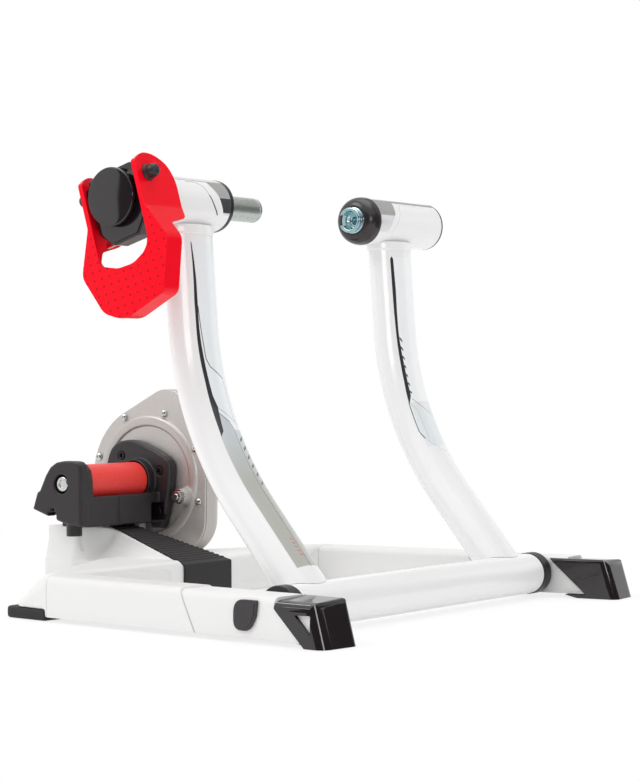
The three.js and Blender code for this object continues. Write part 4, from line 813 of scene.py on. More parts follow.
def hub_saddle(name, side):
    lean_back = math.tan(UPPER_LEAN)
    middle = place(SADDLE_X + (HUB_Z - SADDLE_LOW) * lean_back, side * UPRIGHT_Y, SADDLE_LOW)
    saddle = oval(name, middle, 0, TUBE_FORE + SADDLE_RIM, TUBE_SIDE + SADDLE_RIM)
    bpy.ops.mesh.edge_face_add()
    rise = Vector((-lean_back, 0, 1)) * (SADDLE_TOP - SADDLE_LOW) * MM
    bpy.ops.mesh.extrude_region_move(TRANSFORM_OT_translate={"value": rise})
    tidy_faces()
    soften(saddle, 2.2, 4)
    return carved(saddle, cope(HUB_RADIUS, HUB_X, HUB_Z, side * UPRIGHT_Y))


# %% [markdown]
# ## Both uprights, with their UV map
# Each corner of each face is given its place along and round the tube. Where a face crosses
# the back of the tube, the turn jumps from one end of its range to the other, so the low
# corners are lifted by a whole turn.


# %% Uprights
def upright(name, side):
    tube = joined(name, bent_tube(name, side), hub_saddle(name + "_saddle", side))
    soften(tube, angle=40)
    layer = tube.data.uv_layers.new(name="along the tube")
    for face in tube.data.polygons:
        spots = [tube_coordinates(tube.data.vertices[i].co, side) for i in face.vertices]
        crossing = max(v for _, v in spots) - min(v for _, v in spots) > 0.5
        for loop, (u, v) in zip(face.loop_indices, spots):
            layer.data[loop].uv = (u, v + 1 if crossing and v < 0.5 else v)
    return tube


dress(upright("left_upright_tube", 1), left_paint, "u_frame", "white_paint", "left_upright")
dress(upright("right_upright_tube", -1), right_paint, "u_frame", "white_paint", "right_upright")

# %% [markdown]
# ## Cross tube and bushes
# The cross tube is plain round tube. A black nylon bush closes each end and turns on a bolt
# through the rail, so the frame folds. Both are spun from the profile that a lathe would cut.

# %% Cross tube and bushes
fold_line = about_y(0, FOLD_Z)
tube = [(20.75, -207.2, 0.6), (20.75, 207.2, 0.6), (18.35, 207.2), (18.35, -207.2)]
cross = spun("cross_tube_skin", tube, fold_line, closed=True)
dress(cross, powder_coat, "u_frame", "white_paint", "cross_tube")
for side, name in ((1, "left"), (-1, "right")):
    profile = [
        (6.3, 181.5), (18.0, 181.5), (18.0, 207.5),
        (21.55, 207.5, 0.8), (21.55, 221.5, 1.2), (6.3, 221.5),
    ]
    bush = spun(name + "_bush", [(r, side * y, *more) for r, y, *more in profile],
                fold_line, closed=True)
    dress(bush, black_nylon, "u_frame", "black_moulding", name + "_pivot_bush")

# %% [markdown]
# ## Hub tubes
# Each hub tube is 50 mm steel tube, chromed bright. A white wrap covers most of it: it leaves
# a strip along the top bare, and its inner edge runs in a slanted curve, with a thin black
# line behind it. The wrap is drawn by the distance from the trainer's middle and the angle
# round the tube, counted up from level with the front.

# %% White wrap on chrome
HUB_DEGREE = math.radians(HUB_RADIUS)
WRAP_TOP, WRAP_BACK = 55, 150
CHROME = 0xD8D9DB


def hub_wrap(name, edge, lines):
    paint, tree, shader = finish(name, WHITE, 0.2)
    where = add(tree, "ShaderNodeTexCoord").outputs["Object"]
    spot = add(tree, "ShaderNodeSeparateXYZ", {"Vector": where})
    distance = add(tree, MATH, {0: spot.outputs["Y"]}, operation="ABSOLUTE")
    reach = add(tree, MATH, {0: distance, 1: MM}, operation="DIVIDE")
    height = add(tree, MATH, {0: spot.outputs["Z"], 1: HUB_Z * MM}, operation="SUBTRACT")
    fore = add(tree, MATH, {0: spot.outputs["X"], 1: FOLD_X + HUB_X * MM}, operation="SUBTRACT")
    angle = add(tree, MATH, {0: height, 1: fore}, operation="ARCTAN2")
    turn = add(tree, MATH, {0: angle}, operation="DEGREES")
    girth = add(tree, MATH, {0: turn, 1: HUB_DEGREE}, operation="MULTIPLY")
    wrap_end = graph(tree, turn, -180, 180, edge, reach=200)
    inner = add(tree, MATH, {0: reach, 1: wrap_end}, operation="LESS_THAN")
    strip = between(tree, turn, WRAP_TOP, WRAP_BACK)
    bare = add(tree, MATH, {0: inner, 1: strip}, operation="MAXIMUM")
    ink = WHITE
    for half, code, line in lines:
        ink = printed(tree, ink, strokes(tree, reach, girth, half, line, HUB_DEGREE), code)
    ink = printed(tree, ink, bare, CHROME)
    tree.links.new(ink, shader.inputs["Base Color"])
    tree.links.new(bare.outputs[0], shader.inputs["Metallic"])
    polish = add(tree, "ShaderNodeMapRange", {"Value": bare, "To Min": 0.2, "To Max": 0.09})
    tree.links.new(polish.outputs["Result"], shader.inputs["Roughness"])
    print(name, "has", len(tree.nodes), "nodes")
    return paint


right_wrap = hub_wrap("white wrap on chromed tube, right", [
    (-180, 120), (-25, 120), (-24, 137), (0, 142), (17, 145), (31, 148.5), (41.5, 151), (62, 153),
    (180, 153)],
    [(0.3, 0x56565A, [(185, 49.5), (171, 51), (163, 39), (158.4, 16)]),
     (0.7, BLACK_INK, [(158.4, 16), (153, -4), (146, -24)])])
left_wrap = hub_wrap("white wrap on chromed tube, left", [
    (-180, 120), (-28, 120), (-27, 139), (-14, 143.4), (3, 147.6), (20, 153), (36.5, 155),
    (51, 158), (180, 158)],
    [(0.4, 0xD9DADC, [(200, 48), (172, 50), (165, 36), (161, 16), (156, -4), (149, -26)])])

# %% [markdown]
# ## Tubes and bands
# Tube and band are spun from their sections, and both take the same wrap, which therefore
# runs on over their joint. The right band starts further out, behind the plunger's guide.

# %% Hub tubes and bands
hub_line = about_y(HUB_X, HUB_Z)
for side, name, start, end, wrap in (
    (1, "left", 125, 240.5, left_wrap),
    (-1, "right", 127.7, 243, right_wrap),
):
    tube = [(21.6, 125), (24.1, 125), (24.1, 148.9), (25, 148.9), (25, end, 0.6), (21.6, end)]
    piece = spun(name + "_hub_skin", [(r, side * y, *more) for r, y, *more in tube],
                 hub_line, closed=True)
    dress(piece, wrap, "u_frame", "white_paint", name + "_hub_tube")
    band = [(24.4, start), (25, start, 0.4), (25, 148.8), (24.4, 148.8)]
    piece = spun(name + "_band_skin", [(r, side * y, *more) for r, y, *more in band],
                 hub_line, closed=True)
    dress(piece, wrap, "u_frame", "chrome", name + "_hub_band")

# %% [markdown]
# ## Plunger and guide
# On the right a zinc plated plunger slides through a black guide. Both are turned pieces, so
# each is spun from one profile, and the plunger's collar is part of its profile.

# %% Plunger and guide
plunger = spun("plunger_rod", [
    (0, -61), (12, -61, 2.4), (12, -65.2), (11.7, -65.6), (11.7, -66.2), (12, -66.6), (12, -187.6),
    (19, -187.6, 0.8), (19, -191.6, 0.8), (12, -191.6), (12, -238.2, 1.0), (0, -238.2),
], hub_line)
dress(plunger, turned_zinc, "plunger", "zinc", "plunger")
guide = spun("plunger_guide_ring", [
    (12.3, -120.7), (21, -120.7, 1.5), (25.2, -122.4, 1.5), (25.2, -127.4, 0.3), (24.4, -127.4),
    (24.4, -124.8), (21.3, -124.8), (21.3, -141), (12.3, -141),
], hub_line, closed=True)
dress(guide, black_satin, "u_frame", "black_moulding", "plunger_guide")

# %% [markdown]
# ## Cup, dome and cap
# On the left a notched steel cup sits in a black dome. Both are turned, and the cup's notch
# is milled, here with a Boolean. A black cap closes the tube, and only its rim shows.

# %% Cup, dome and cap
cup = spun("axle_cup_body", [
    (0, 120), (4.4, 120), (4.4, 111.6), (5.4, 110.8, 0.5), (6.8, 111.8, 0.4), (9.3, 109, 1),
    (9.6, 102.2), (10.4, 101, 0.6), (12.8, 101, 0.8), (13.5, 102.4, 0.8), (12.7, 105.6, 1),
    (12.7, 107.4), (14, 107.9, 0.4), (14, 116), (9.5, 116), (9.5, 160), (6.2, 163.3), (0, 163.3),
], hub_line)
x0, x1, z0, z1 = HUB_X - 22, HUB_X - 5, HUB_Z - 5.5, HUB_Z + 5.5
notch = pushed("notch", [(x0, z0), (x1, z0), (x1, z1), (x0, z1)], 95, 107.6, side_view)
carved(cup, notch)
soften(cup, 0.4, 2, 40)
dress(cup, blue_zinc, "cup", "zinc", "axle_cup")
dome = spun("hub_dome_skin", [
    (14.3, 107.7), (16, 107.7, 0.8), (20.5, 109.5, 3), (24.2, 114.5, 5), (25.3, 121, 3),
    (25.3, 124.7, 0.4), (21.3, 124.7), (21.3, 138.7), (9.8, 138.7), (9.8, 116.3), (14.3, 116.3),
], hub_line, closed=True, angle=50)
dress(dome, black_satin, "u_frame", "black_moulding", "hub_dome")
cap = spun("hub_end_cap_skin", [
    (0, 230.5), (21.3, 230.5), (21.3, 240.7), (25, 240.7, 0.3), (25, 243.1, 1.2), (0, 243.1),
], hub_line)
dress(cap, black_nylon, "u_frame", "white_moulding", "hub_end_cap")

# %% [markdown]
# ## Moulded copies
# Some mouldings have pockets and blends that are hard to draw edge by edge. We copy such a
# piece from the CAD, rebuild its skin on an even grid with Remesh, and smooth it, which
# rounds every edge as the mould does. The grid has to be finer than the thinnest wall.


# %% Copy, remesh and smooth
def moulded_copy(node, name, voxel, smoothing, *patches):
    clear_selection()
    piece = frame["nodes"][node].copy()
    piece.data = piece.data.copy()
    piece.name = piece.data.name = name
    bpy.context.scene.collection.objects.link(piece)
    piece.hide_render = piece.hide_viewport = False
    piece.parent = None
    pick(piece)
    bpy.ops.object.mode_set(mode="EDIT")
    bpy.ops.mesh.select_all(action="SELECT")
    bpy.ops.mesh.remove_doubles(threshold=0.005 * MM)
    bpy.ops.object.mode_set(mode="OBJECT")
    if patches:
        joined(name, piece, *patches)
    shaped(piece, "REMESH", mode="VOXEL", voxel_size=voxel * MM)
    shaped(piece, "SMOOTH", factor=0.5, iterations=smoothing)
    return soften(piece, angle=60)


# %% [markdown]
# ## Clamp head
# A black yoke carries the red lever on a cross pin, and a round knob closes its end. The
# lever is a thin-walled hood: we push its outline through, hollow it with a smaller outline,
# open the finger window and trim it to its side view. The knob's face is slightly domed,
# which bends the reflections on it as in the photograph.

# %% Yoke and knob
yoke = moulded_copy("clamp_yoke", "clamp_yoke_body", 0.9, 3)
dress(yoke, black_gloss, "head", "black_moulding", "clamp_yoke")


def head_line(radius, along):
    return head_side(radius, 0, along)


knob = spun("clamp_knob_body", [
    (0, -273), (8, -272.96), (16, -272.82), (23, -272.62), (27, -272.45, 1.2), (27, -268.4, 0.8),
    (23, -268.4), (23, -264.3, 0.6), (19, -264.3), (19, -268.4), (0, -268.4),
], head_line, sides=96)
dress(knob, black_gloss, "head", "black_gloss", "clamp_knob")

# %% [markdown]
# ## Lever
# The hood's walls are 3 mm thick. The hollow is open at the back and top, so that the lever
# can swing over the yoke, and the side view gives the two ears their rounded tops.

# %% Lever
GRIP = [(53.5, -55, 6), (35, -102, 5), (-17, -112.5, 12), (-39, -99, 6), (-55, -59.5, 6)]
outer = [(36, 31), (36, -19.5, 2), *GRIP, (-36, -19.5, 2), (-36, 31)]
inner = [
    (32.8, 50), (32.8, -20.2, 1.5), (49.9, -54.8, 4), (32.6, -99.2, 3), (-16.6, -109.2, 9),
    (-36.5, -97.2, 4), (-51.6, -59.2, 4), (-32.8, -20.2, 1.5), (-32.8, 50),
]
window = [
    (31, 50), (31, -46), (28, -55, 3), (22, -60.5, 3), (8, -66, 5),
    (-11, -65, 4), (-29, -57.5, 2), (-31, -54, 2), (-31, 50),
]
side_profile = [
    (-270.5, -125), (-250, -125), (-250, -38.5, 3), (-224.5, -32.5, 6), (-218.5, -19.5, 3),
    (-218.5, 6, 11), (-226, 21.5, 9), (-243, 30.4, 9), (-259, 31.4, 7), (-270.5, 23.5, 3),
]
lever = pushed("clamp_lever_body", outer, -270.5, -218.5, head_side)
carved(lever, pushed("hollow", inner, -267.3, -200, head_side))
carved(lever, pushed("trim", side_profile, -70, 70, head_front), operation="INTERSECT")
carved(lever, pushed("window", window, -290, -260, head_side))
soften(lever, 0.7, 3, 38)
dress(lever, red_gloss, "lever", "red_gloss", "clamp_lever")

# %% [markdown]
# ## Pins and caps
# The cross pin's ends are hidden by two black domed caps, which turn with the lever. A small
# steel bar under it stops the lever's swing. All three are spun about the head's own line.


# %% Pins and caps
def about_head_x(reach, height):
    return lambda radius, along: head_side(along, height, reach + radius)


for along, name in ((1, "front"), (-1, "rear")):
    profile = [
        (4.8, 36.3), (8.1, 36.3, 0.5), (7.2, 38), (6.6, 38.8, 0.5),
        (6.4, 44, 2), (4.6, 47.6, 3), (0, 48.3),
    ]
    cap = spun(name + "_pin_cap_dome", [(r, along * a, *more) for r, a, *more in profile],
               about_head_x(-256, 11.5), sides=48, angle=50)
    dress(cap, black_nylon, "lever", "black_moulding", name + "_pin_cap")
stop = spun("stop_pin_bar", [(0, -30.5), (3, -30.5, 0.6), (3, -8.3), (0, -8.3)],
            about_head_x(-253.5, -36), sides=32)
dress(stop, zinc_plate, "head", "zinc", "lever_stop_pin")

# %% [markdown]
# ## Side rails
# The rails are long white mouldings with rounded top edges and an open underside. A slanted
# seam divides each into two lengths. The section is pushed along the rail and trimmed with
# its side view, and the bays below are cut out between ribs.


# %% Rails
def rail_views(side):
    return (lambda a, b, depth: rail_place(side, a, depth, b),
            lambda a, b, depth: rail_place(side, a, b, depth),
            lambda a, b, depth: rail_place(side, depth, a, b))


BAY_START, BAY_PITCH, BAY_LENGTH = -254, 56.3, 52.3


def bay(view, x0, x1):
    return pushed("bay", [(x0, -40.5), (x1, -40.5), (x1, -3.5), (x0, -3.5)], -5, 39.5, view)


for side, name in ((1, "left"), (-1, "right")):
    from_side, from_top, from_front = rail_views(side)
    section = [(0, 4), (0, 43, 9), (-44, 43, 7), (-44, 4)]
    middle = pushed(name + "_rail_body", section, -272, -50, from_front, steps=8)
    trim = [(-290, -10), (-65.15, 4, 0.5), (-85.15, 43, 0.5), (-85.15, 60), (-290, 60)]
    carved(middle, pushed("trim", trim, -60, 20, from_side), operation="INTERSECT")
    end = [(-400, -10), (-262.85, -10), (-262.85, 60), (-400, 60)]
    carved(middle, pushed("end", end, -400, 400, side_view))
    bays = [BAY_START + i * BAY_PITCH for i in range(3)]
    carved(middle, *[bay(from_top, x, x + BAY_LENGTH) for x in bays])
    soften(middle, 0.8, 3)
    dress(middle, white_abs, "base", "white_moulding", name + "_rail_middle")

    section = [(-1.1, 4), (-1.1, 41.9, 9), (-42.9, 41.9, 7), (-42.9, 4)]
    front_rail = pushed(name + "_rail_nose", section, -100, 70, from_front, steps=8)
    trim = [(-64.85, 4), (-84.85, 43), (-84.85, 60), (31.9, 60), (31.9, 32), (62.6, 4)]
    carved(front_rail, pushed("trim", trim, -60, 20, from_side), operation="INTERSECT")
    carved(front_rail, bay(from_top, -61, -20))
    soften(front_rail, 0.6, 3)
    dress(front_rail, white_abs, "base", "white_moulding", name + "_rail_front")

# %% [markdown]
# ## Front feet
# The front feet are gloss black hoods over the rail ends, with a three-cornered opening on
# the outer side that shows a white lining. A hood is pushed from its side view, then trimmed
# by its plan, pushed along a slant as the front face slopes, and by its section.

# %% Feet
FOOT_SLOPE = 0.29

for side, name in ((1, "left"), (-1, "right")):
    from_side, from_top, from_front = rail_views(side)
    hood = pushed(name + "_foot_hood", [
        (32.5, 41), (77.5, 41, 9), (89.4, 0), (67.5, 0), (32.5, 32),
    ], -44, 0, from_side)
    arm = pushed("arm", [
        (12.7, 41), (77.5, 41, 9), (89.4, 0), (45, 0), (32, 3), (32, 3.7), (54.8, 3.7),
    ], -47, -43.5, from_side)
    sole = pushed("sole", [(77.5, 0), (45, 0), (32, 3), (32, 3.7), (77.5, 3.7)], -47, -20,
                  from_side)
    carved(hood, arm, sole, operation="UNION")
    plan = pushed("plan", [(0, 0), (89.4, 0, 12), (89.4, -47, 9), (0, -47)], -5, 50,
                  lambda a, b, up: from_top(a - FOOT_SLOPE * up, b, up), steps=8)
    section = pushed("section", [(0, -5), (0, 38.4, 10), (-47, 41, 5), (-47, -5)], 0, 100,
                     from_front, steps=8)
    carved(hood, plan, section, operation="INTERSECT")
    room = pushed("room", [(16.2, 37.5), (75, 37.5, 5), (85, 4), (16.2, 3.7)], -43.5, -3.5,
                  from_side)
    opening = pushed("opening", [(56.5, 28, 1.75), (74.5, 28.5, 1.75), (74.5, 10.5, 1.75)],
                     -3.8, 6, from_side)
    carved(hood, room, opening)
    soften(hood, 0.7, 3, 30)
    dress(hood, black_gloss, "base", "black_gloss", name + "_front_foot")

    nose = pushed(name + "_foot_lining", [(28, 37.2), (74.8, 37.2, 4), (84.6, 4.2), (28, 4.2)],
                  -43.2, -3.8, from_side)
    dress(nose, white_abs, "base", "white_moulding")

# %% [markdown]
# ## Rear pads and plug caps
# The rear pads are rubber slabs with rounded ends. A plug cap with the form of a drop hides
# each pivot bolt: a rim, and a crown that stands a little proud of it.

# %% Pads and plug caps
for side, name in ((1, "left"), (-1, "right")):
    from_side, from_top, from_front = rail_views(side)
    pad = pushed(name + "_pad_slab", [(-330, 0, 14.5), (-330, -31, 14.5), (-268, -31), (-268, 0)],
                 0, 11, from_top, 2.6, 4)
    dress(pad, black_rubber, "base", "black_rubber", name + "_rear_pad")
    rim = pushed(name + "_plug_face", [
        (14.5, 38, 1.6), (-15, 38, 13), (-15, 10.5, 13), (4, 10.5, 6), (12.5, 22, 8),
    ], -0.8, 1.5, from_side, 0.8)
    crown = pushed("crown", [
        (11.6, 35.6, 2), (-12.6, 35.6, 11), (-12.6, 13, 11), (3, 13, 6), (10, 23, 8),
    ], 1, 2.2, from_side, 0.6)
    dress(joined(name + "_plug_face", rim, crown), black_satin, "base", "black_moulding",
          name + "_plug_cap")

# %% [markdown]
# ## Rear body
# The rear body joins the rails in one moulding whose ramp and pedestal blend into the deck,
# so it is a moulded copy. A small patch is joined first, where the pedestal's hollow side
# wall is too thin. Decimate then takes away the triangles that its flat faces don't need.

# %% Rear body
patch = pushed("patch", [
    (-397, -54.5), (-392, -52.6), (-390, -49.8), (-388, -46), (-386, -41.8), (-386, -36),
    (-390, -43), (-397, -49),
], 10, 71, plan_view)
body = moulded_copy("rear_body", "rear_body_moulding", 1.4, 4, patch)
shaped(body, "DECIMATE", ratio=0.58)
soften(body, angle=60)
print("rear body:", len(body.data.polygons), "faces")
dress(body, white_abs, "base", "white_moulding", "rear_body")

# %% [markdown]
# ## Tread
# The tread is a rubber mat on the ramp, with a low rib every 6 mm. Ribs and mat are one
# outline, pushed across and trimmed to the mat's plan.

# %% Tread
RAMP_FOOT, RAMP_LOW, RAMP_SLOPE = -263, 39.5, 0.289
MAT_TOP, RIB_TOP, RIB_PITCH, RIB_WIDTH = 1, 1.7, 6, 2.6


def above_ramp(x, height):
    return x, RAMP_LOW + RAMP_SLOPE * (RAMP_FOOT - x) + height


ribs = []
for i in range(1, 20):
    x = RAMP_FOOT - RIB_PITCH * i
    ribs += [above_ramp(x, MAT_TOP), above_ramp(x, RIB_TOP)]
    ribs += [above_ramp(x - RIB_WIDTH, RIB_TOP), above_ramp(x - RIB_WIDTH, MAT_TOP)]
tread_side = [
    (-260, 8.5), (*above_ramp(-260, MAT_TOP), 1.2), *ribs, above_ramp(-385, MAT_TOP),
    above_ramp(-385, -2), above_ramp(RAMP_FOOT, -2), (RAMP_FOOT, 8.5),
]
tread = pushed("tread_mat", tread_side, -38, 38, side_view)
plan = pushed("plan", [
    (-255, 37.5), (-263, 37.5), (-372, 17.5), (-390, 17.5),
    (-390, -17.5), (-372, -17.5), (-263, -37.5), (-255, -37.5),
], 0, 90, plan_view)
carved(tread, plan, operation="INTERSECT")
soften(tread, 0.25, 2)
dress(tread, black_rubber, "base", "black_rubber", "ramp_tread")

# %% [markdown]
# ## Cradle and roller
# Two black nylon mouldings hold the roller between them. Their pockets, bosses and seats
# come from the CAD solids, and the same remeshing gives them the soft edges of a moulding.
# The roller is a plain cylinder with rounded rims, cast in red polyurethane.

# %% Cradle, roller and axle bolt
cradle = moulded_copy("cradle_outer", "cradle_outer_moulding", 0.9, 4)
dress(cradle, black_nylon, "base", "black_moulding", "cradle_outer")
cradle = moulded_copy("cradle_inner", "cradle_inner_moulding", 0.9, 4)
dress(cradle, black_nylon, "base", "black_moulding", "cradle_inner")
roller_line = about_y(ROLLER_X, ROLLER_Z)
roller = spun("roller_sleeve", [(6.3, -62), (19.5, -62, 1.6), (19.5, 31, 1.6), (6.3, 31)],
              roller_line, closed=True)
dress(roller, roller_rubber, "roller", "roller_elastomer", "roller")
bolt = spun("roller_bolt_head", [
    (0, -82), (4, -82, 0.4), (4.6, -83.5, 0.4), (7, -83.5, 0.8), (8, -82.6, 0.6), (8, -78.5),
    (0, -78.5),
], roller_line, sides=64)
dress(bolt, zinc_plate, "base", "zinc", "roller_bolt")

# %% [markdown]
# ## Brake housing
# The housing's outline is the hull round a disc, a crown and a heel. Its front plate has a
# raised round bead, made by spinning a soft profile, and a boss for the stud bolt.

# %% Front plate
STUD_X, STUD_Z = -333.5, 104
stud_line = about_y(STUD_X, STUD_Z)

spots = []
for x, z, radius in ((ROLLER_X, ROLLER_Z, 80.5), (-364, 186, 33.5), (-350, 80, 40)):
    for i in range(96):
        angle = 2 * math.pi * i / 96
        spots.append((x + radius * math.cos(angle), z + radius * math.sin(angle)))
housing_outline = [spots[i] for i in convex_hull_2d(spots)]

plate = pushed("front_plate_sheet", housing_outline, 54, 57, side_view, 0.8, 3)
bead = spun("bead", [
    (57, 55.5), (57.6, 54, 1.2), (59.6, 51.9, 1.6), (64, 51.4, 3), (68.4, 51.9, 1.6),
    (70.4, 54, 1.2), (71, 55.5),
], roller_line, sides=128, closed=True, angle=60)
boss = spun("boss", [
    (0, 55.5), (12.5, 55.5), (11, 53.4, 1.5), (9.2, 51, 1.5), (8, 41, 1.2), (0, 41),
], stud_line, sides=48)
carved(plate, cope(9, ROLLER_X, ROLLER_Z, 50))
plate = joined("front_plate_sheet", plate, bead, boss)
dress(plate, housing_coat, "base", "cast_aluminium", "front_plate")

# %% [markdown]
# ## Rear cover
# The cover has the plate's outline. Its back faces are chosen by their normal, their border
# is picked out of them, and a wide bevel rounds that border as a casting is rounded.

# %% Rear cover
cover = pushed("rear_cover_shell", housing_outline, 57.3, 84.3, side_view)
pick(cover)
bpy.ops.object.mode_set(mode="EDIT")
bpy.ops.mesh.select_all(action="DESELECT")
bpy.ops.object.mode_set(mode="OBJECT")
for polygon in cover.data.polygons:
    polygon.select = polygon.normal.y > 0.9
bpy.ops.object.mode_set(mode="EDIT")
bpy.ops.mesh.region_to_loop()
bpy.ops.mesh.bevel(offset=13 * MM, offset_type="OFFSET", segments=8, profile=0.5, affect="EDGES")
bpy.ops.object.mode_set(mode="OBJECT")
soften(cover, angle=40)
dress(cover, housing_coat, "base", "cast_aluminium", "rear_cover")

# %% [markdown]
# ## Plate screws
# One pan-head screw with a cross recess is modelled and copied round the plate, 45 degrees
# apart. Each copy has its own mesh, which is moved to its place in edit mode.


# %% Plate screws
def copied(piece, name, x, z, pattern_x, pattern_z):
    twin = piece.copy()
    twin.data = piece.data.copy()
    twin.name = twin.data.name = name
    bpy.context.scene.collection.objects.link(twin)
    pick(twin)
    bpy.ops.object.mode_set(mode="EDIT")
    bpy.ops.mesh.select_all(action="SELECT")
    bpy.ops.transform.translate(value=((x - pattern_x) * MM, 0, (z - pattern_z) * MM))
    bpy.ops.object.mode_set(mode="OBJECT")
    return twin


SCREW_RING, FIRST_SCREW = 75.5, -18

turns = [math.radians(45 * i + FIRST_SCREW) for i in range(8)]
spots = [(ROLLER_X + SCREW_RING * math.cos(turn), ROLLER_Z + SCREW_RING * math.sin(turn))
         for turn in turns]
first_x, first_z = spots[0]
screw_line = about_y(first_x, first_z)
screw = spun("pan_screw", [
    (0, 51.1), (2.4, 51.1, 0.8), (4.2, 52.3, 0.8), (4.2, 53.7), (2, 53.7), (2, 63), (0, 63),
], screw_line, sides=32)
for wide, high in ((2.6, 0.7), (0.7, 2.6)):
    x0, x1 = first_x - wide / 2 - 0.3, first_x + wide / 2
    z0, z1 = first_z - high / 2, first_z + high / 2
    slot = pushed("slot", [(x0, z0), (x1, z0), (x1, z1), (x0, z1)], 50, 52.2, side_view)
    carved(screw, slot)
for i, (x, z) in enumerate(spots):
    twin = copied(screw, f"pan_screw_{i + 1}", x, z, first_x, first_z)
    dress(twin, zinc_plate, "base", "zinc", f"plate_screw_{i + 1}")
bpy.data.objects.remove(screw)

# %% [markdown]
# ## Cradle screws
# Three black socket screws hold the inner cradle's flange to the plate. One is spun, with a
# plain round recess in its head, and copied.

# %% Cradle screws
spots = ((-416, 147), (-362, 131), (-364, 87))
first_x, first_z = spots[0]
screw_line = about_y(first_x, first_z)
screw = spun("socket_screw", [
    (0, 41.8), (2.4, 41.8), (2.4, 39.7, 0.3), (4.4, 39.7, 0.8),
    (4.4, 42.3), (2, 42.3), (2, 53.4), (0, 53.4),
], screw_line, sides=32)
for i, (x, z) in enumerate(spots):
    twin = copied(screw, f"socket_screw_{i + 1}", x, z, first_x, first_z)
    dress(twin, black_oxide, "base", "black_steel", f"cradle_screw_{i + 1}")
bpy.data.objects.remove(screw)

# %% [markdown]
# ## Stud bolt
# The stud beside the roller has a hexagonal head on a washer, and its threaded end shows as
# a small nose in front. The pieces are joined, as they are one bolt set.

# %% Stud bolt
HEX_REACH = 6.6

turns = [math.radians(60 * i) for i in range(6)]
hexagon = [(STUD_X + HEX_REACH * math.cos(turn), STUD_Z + HEX_REACH * math.sin(turn))
           for turn in turns]
stud = pushed("stud_head", hexagon, 34.2, 39.2, side_view, 0.5, 2)
washer = spun("washer", [(0, 40.7), (8.2, 40.7, 0.4), (8.2, 39.2, 0.4), (0, 39.2)], stud_line,
              sides=48)
nose = spun("nose", [(0, 32.7), (3.4, 32.7, 0.8), (3.4, 34.4), (0, 34.4)], stud_line, sides=32)
shank = spun("shank", [(0, 40.5), (3.4, 40.5), (3.4, 57), (0, 57)], stud_line, sides=24)
stud = joined("stud_bolt_set", stud, washer, nose, shank)
dress(stud, zinc_plate, "base", "zinc", "stud_bolt")

# %% [markdown]
# ## Pieces kept from the CAD
# Bearings, bolts, the rotor and the magnets are inside other pieces, and the CAD shapes are
# right for them. They keep their meshes and get the finish of their real material.

# %% Inner pieces
for node, material in (
    ("plunger_spring", bare_steel), ("lever_cam_pin", bare_steel), ("left_pivot_bolt", zinc_plate),
    ("right_pivot_bolt", zinc_plate), ("roller_shaft", bare_steel), ("near_bearing", bare_steel),
    ("far_bearing", bare_steel), ("rotor", bare_steel), ("magnet_carrier", zinc_plate),
):
    frame["nodes"][node].data.materials.clear()
    frame["nodes"][node].data.materials.append(material)
    print(node, "in", material.name)

# %% [markdown]
# ## Floor
# The photograph has a white ground. The paper sweep shows near-white to the camera and in
# reflections, and a little greyer under the trainer, while its matt paper shader keeps the
# soft contact shadows. The paper's slow waves are 30 mm wide.


# %% Floor
def seen_directly(tree):
    rays = add(tree, "ShaderNodeLightPath").outputs
    looked_at = add(tree, MATH, {0: rays["Is Camera Ray"], 1: rays["Is Glossy Ray"]},
                    operation="MAXIMUM")
    return add(tree, MATH, {0: looked_at, 1: rays["Is Transmission Ray"]}, operation="MAXIMUM")


FLOOR_NEAR, FLOOR_FAR, FLOOR_PALE = 0.35, 1.15, 0.8

clear_selection()
bpy.ops.mesh.primitive_plane_add(size=14, location=(0, 0, -0.0005))
floor = bpy.context.active_object
floor.name = "floor"
ground, tree, shader = finish("white paper sweep", 0xFFFFFF, 0.9)
varied(tree, shader, grain(tree, shader, 30, 0.1), 0.85, 0.95)
glow = add(tree, "ShaderNodeEmission", {"Color": (1, 1, 1, 1), "Strength": 1.0})
where = add(tree, "ShaderNodeTexCoord").outputs["Object"]
out = add(tree, "ShaderNodeVectorMath", {0: where}, operation="LENGTH").outputs["Value"]
outward = add(tree, "ShaderNodeMapRange", {
    "Value": out, "From Min": FLOOR_NEAR, "From Max": FLOOR_FAR,
    "To Min": FLOOR_PALE, "To Max": 1.0}, interpolation_type="SMOOTHSTEP")
seen = add(tree, MATH, {0: seen_directly(tree), 1: outward}, operation="MULTIPLY")
blend = add(tree, "ShaderNodeMixShader", {0: seen})
tree.links.new(shader.outputs["BSDF"], blend.inputs[1])
tree.links.new(glow.outputs["Emission"], blend.inputs[2])
tree.links.new(blend.outputs["Shader"], tree.nodes["Material Output"].inputs["Surface"])
floor.data.materials.append(ground)
print("floor of", ground.name)

# %% [markdown]
# ## World and lamps
# The world is plain white to the camera and in reflections, and lights the trainer a little
# more weakly, so the white paint keeps its tone. A large soft lamp stands at the upper left
# and a wide one hangs overhead.


# %% World and lamps
WORLD_LIGHT = 0.76

world = bpy.data.worlds.new("studio")
bpy.context.scene.world = world
world.use_nodes = True
tree = world.node_tree
tree.nodes.clear()
seen = seen_directly(tree)
strength = add(tree, "ShaderNodeMapRange", {"Value": seen, "To Min": WORLD_LIGHT, "To Max": 1.0})
sky = add(tree, "ShaderNodeBackground", {"Color": (1, 1, 1, 1), "Strength": strength})
output = add(tree, "ShaderNodeOutputWorld")
tree.links.new(sky.outputs["Background"], output.inputs["Surface"])


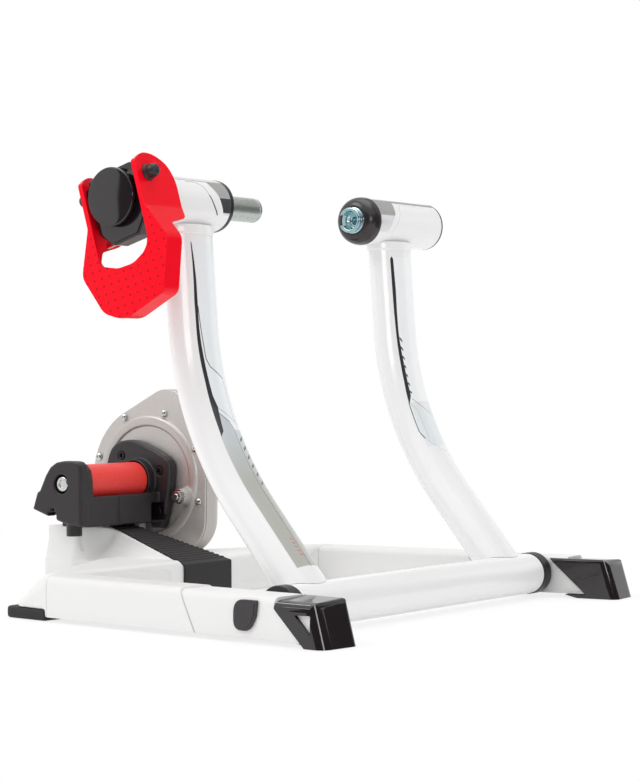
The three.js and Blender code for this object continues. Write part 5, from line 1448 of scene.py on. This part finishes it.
def softbox(name, location, target, size, power):
    data = bpy.data.lights.new(name, "AREA")
    data.shape, data.size, data.size_y, data.energy = "RECTANGLE", size, size, power
    lamp = bpy.data.objects.new(name, data)
    bpy.context.scene.collection.objects.link(lamp)
    lamp.location = location
    lamp.rotation_euler = (Vector(target) - Vector(location)).to_track_quat("-Z", "Y").to_euler()
    print(name, power, "W")


softbox("key softbox", (-1.6, -2.4, 2.6), (-0.1, 0, 0.2), 1.6, 31)
softbox("top softbox", (0.2, 0.2, 3.0), (0, 0, 0), 2.4, 26)

# %% [markdown]
# ## Flags and a strip light
# Gloss black, chrome and the domed knob show what stands round them. In a white room they
# would be plain grey, so dark felt flags stand in front of the trainer and at its right, and
# a low strip light draws the highlight along the rounded edge of the front foot. Only
# reflections see them: they throw no shadow and put no light on the white paint.

# %% Flags and strip
NEAR_HUB = (0.038, -0.137)
STRIP_STRENGTH = 5.0

felt, tree, shader = finish("dark grey felt", 0x474749, 0.95)
varied(tree, shader, grain(tree, shader, 3.0, 0.2), 0.9, 1.0)
pale_felt, tree, shader = finish("pale grey felt", 0xB6B5B2, 0.95)
varied(tree, shader, grain(tree, shader, 3.0, 0.2), 0.9, 1.0)
strip_light, tree, shader = finish("strip light diffuser", 0xFFFFFF, 0.6)
shader.inputs["Emission Color"].default_value = (1, 1, 1, 1)
shader.inputs["Emission Strength"].default_value = STRIP_STRENGTH


def flag(name, material, middle, radius, start, end, low, high):
    points = []
    for i in range(25):
        angle = math.radians(start + (end - start) * i / 24)
        x, y = middle[0] + radius * math.cos(angle), middle[1] + radius * math.sin(angle)
        points.append(Vector((x, y, low)))
    card = draw(name, points)
    bpy.ops.mesh.select_all(action="SELECT")
    bpy.ops.mesh.extrude_region_move(TRANSFORM_OT_translate={"value": Vector((0, 0, high - low))})
    bpy.ops.object.mode_set(mode="OBJECT")
    card.data.materials.append(material)
    card.visible_camera = card.visible_diffuse = card.visible_transmission = False
    card.visible_shadow = card.visible_volume_scatter = False


flag("front flag", felt, (0, 0), 2.3, -124.5, 28, 0, 1.5)
flag("right flag", felt, NEAR_HUB, 1.15, 30, 61, 0, 0.84)
flag("upper right flag", pale_felt, NEAR_HUB, 1.15, 30, 61, 0.86, 1.7)
flag("rear flag", pale_felt, NEAR_HUB, 2.2, 61, 115, 1.1, 2.8)
flag("low strip", strip_light, (0, 0), 2.0, -42, -16, 0.5, 0.85)
print("lamps, flags and strip stand")

# %% [markdown]
# ## Finish
# The Standard view keeps white paint white.

# %% Finish
bpy.context.scene.view_settings.view_transform = "Standard"
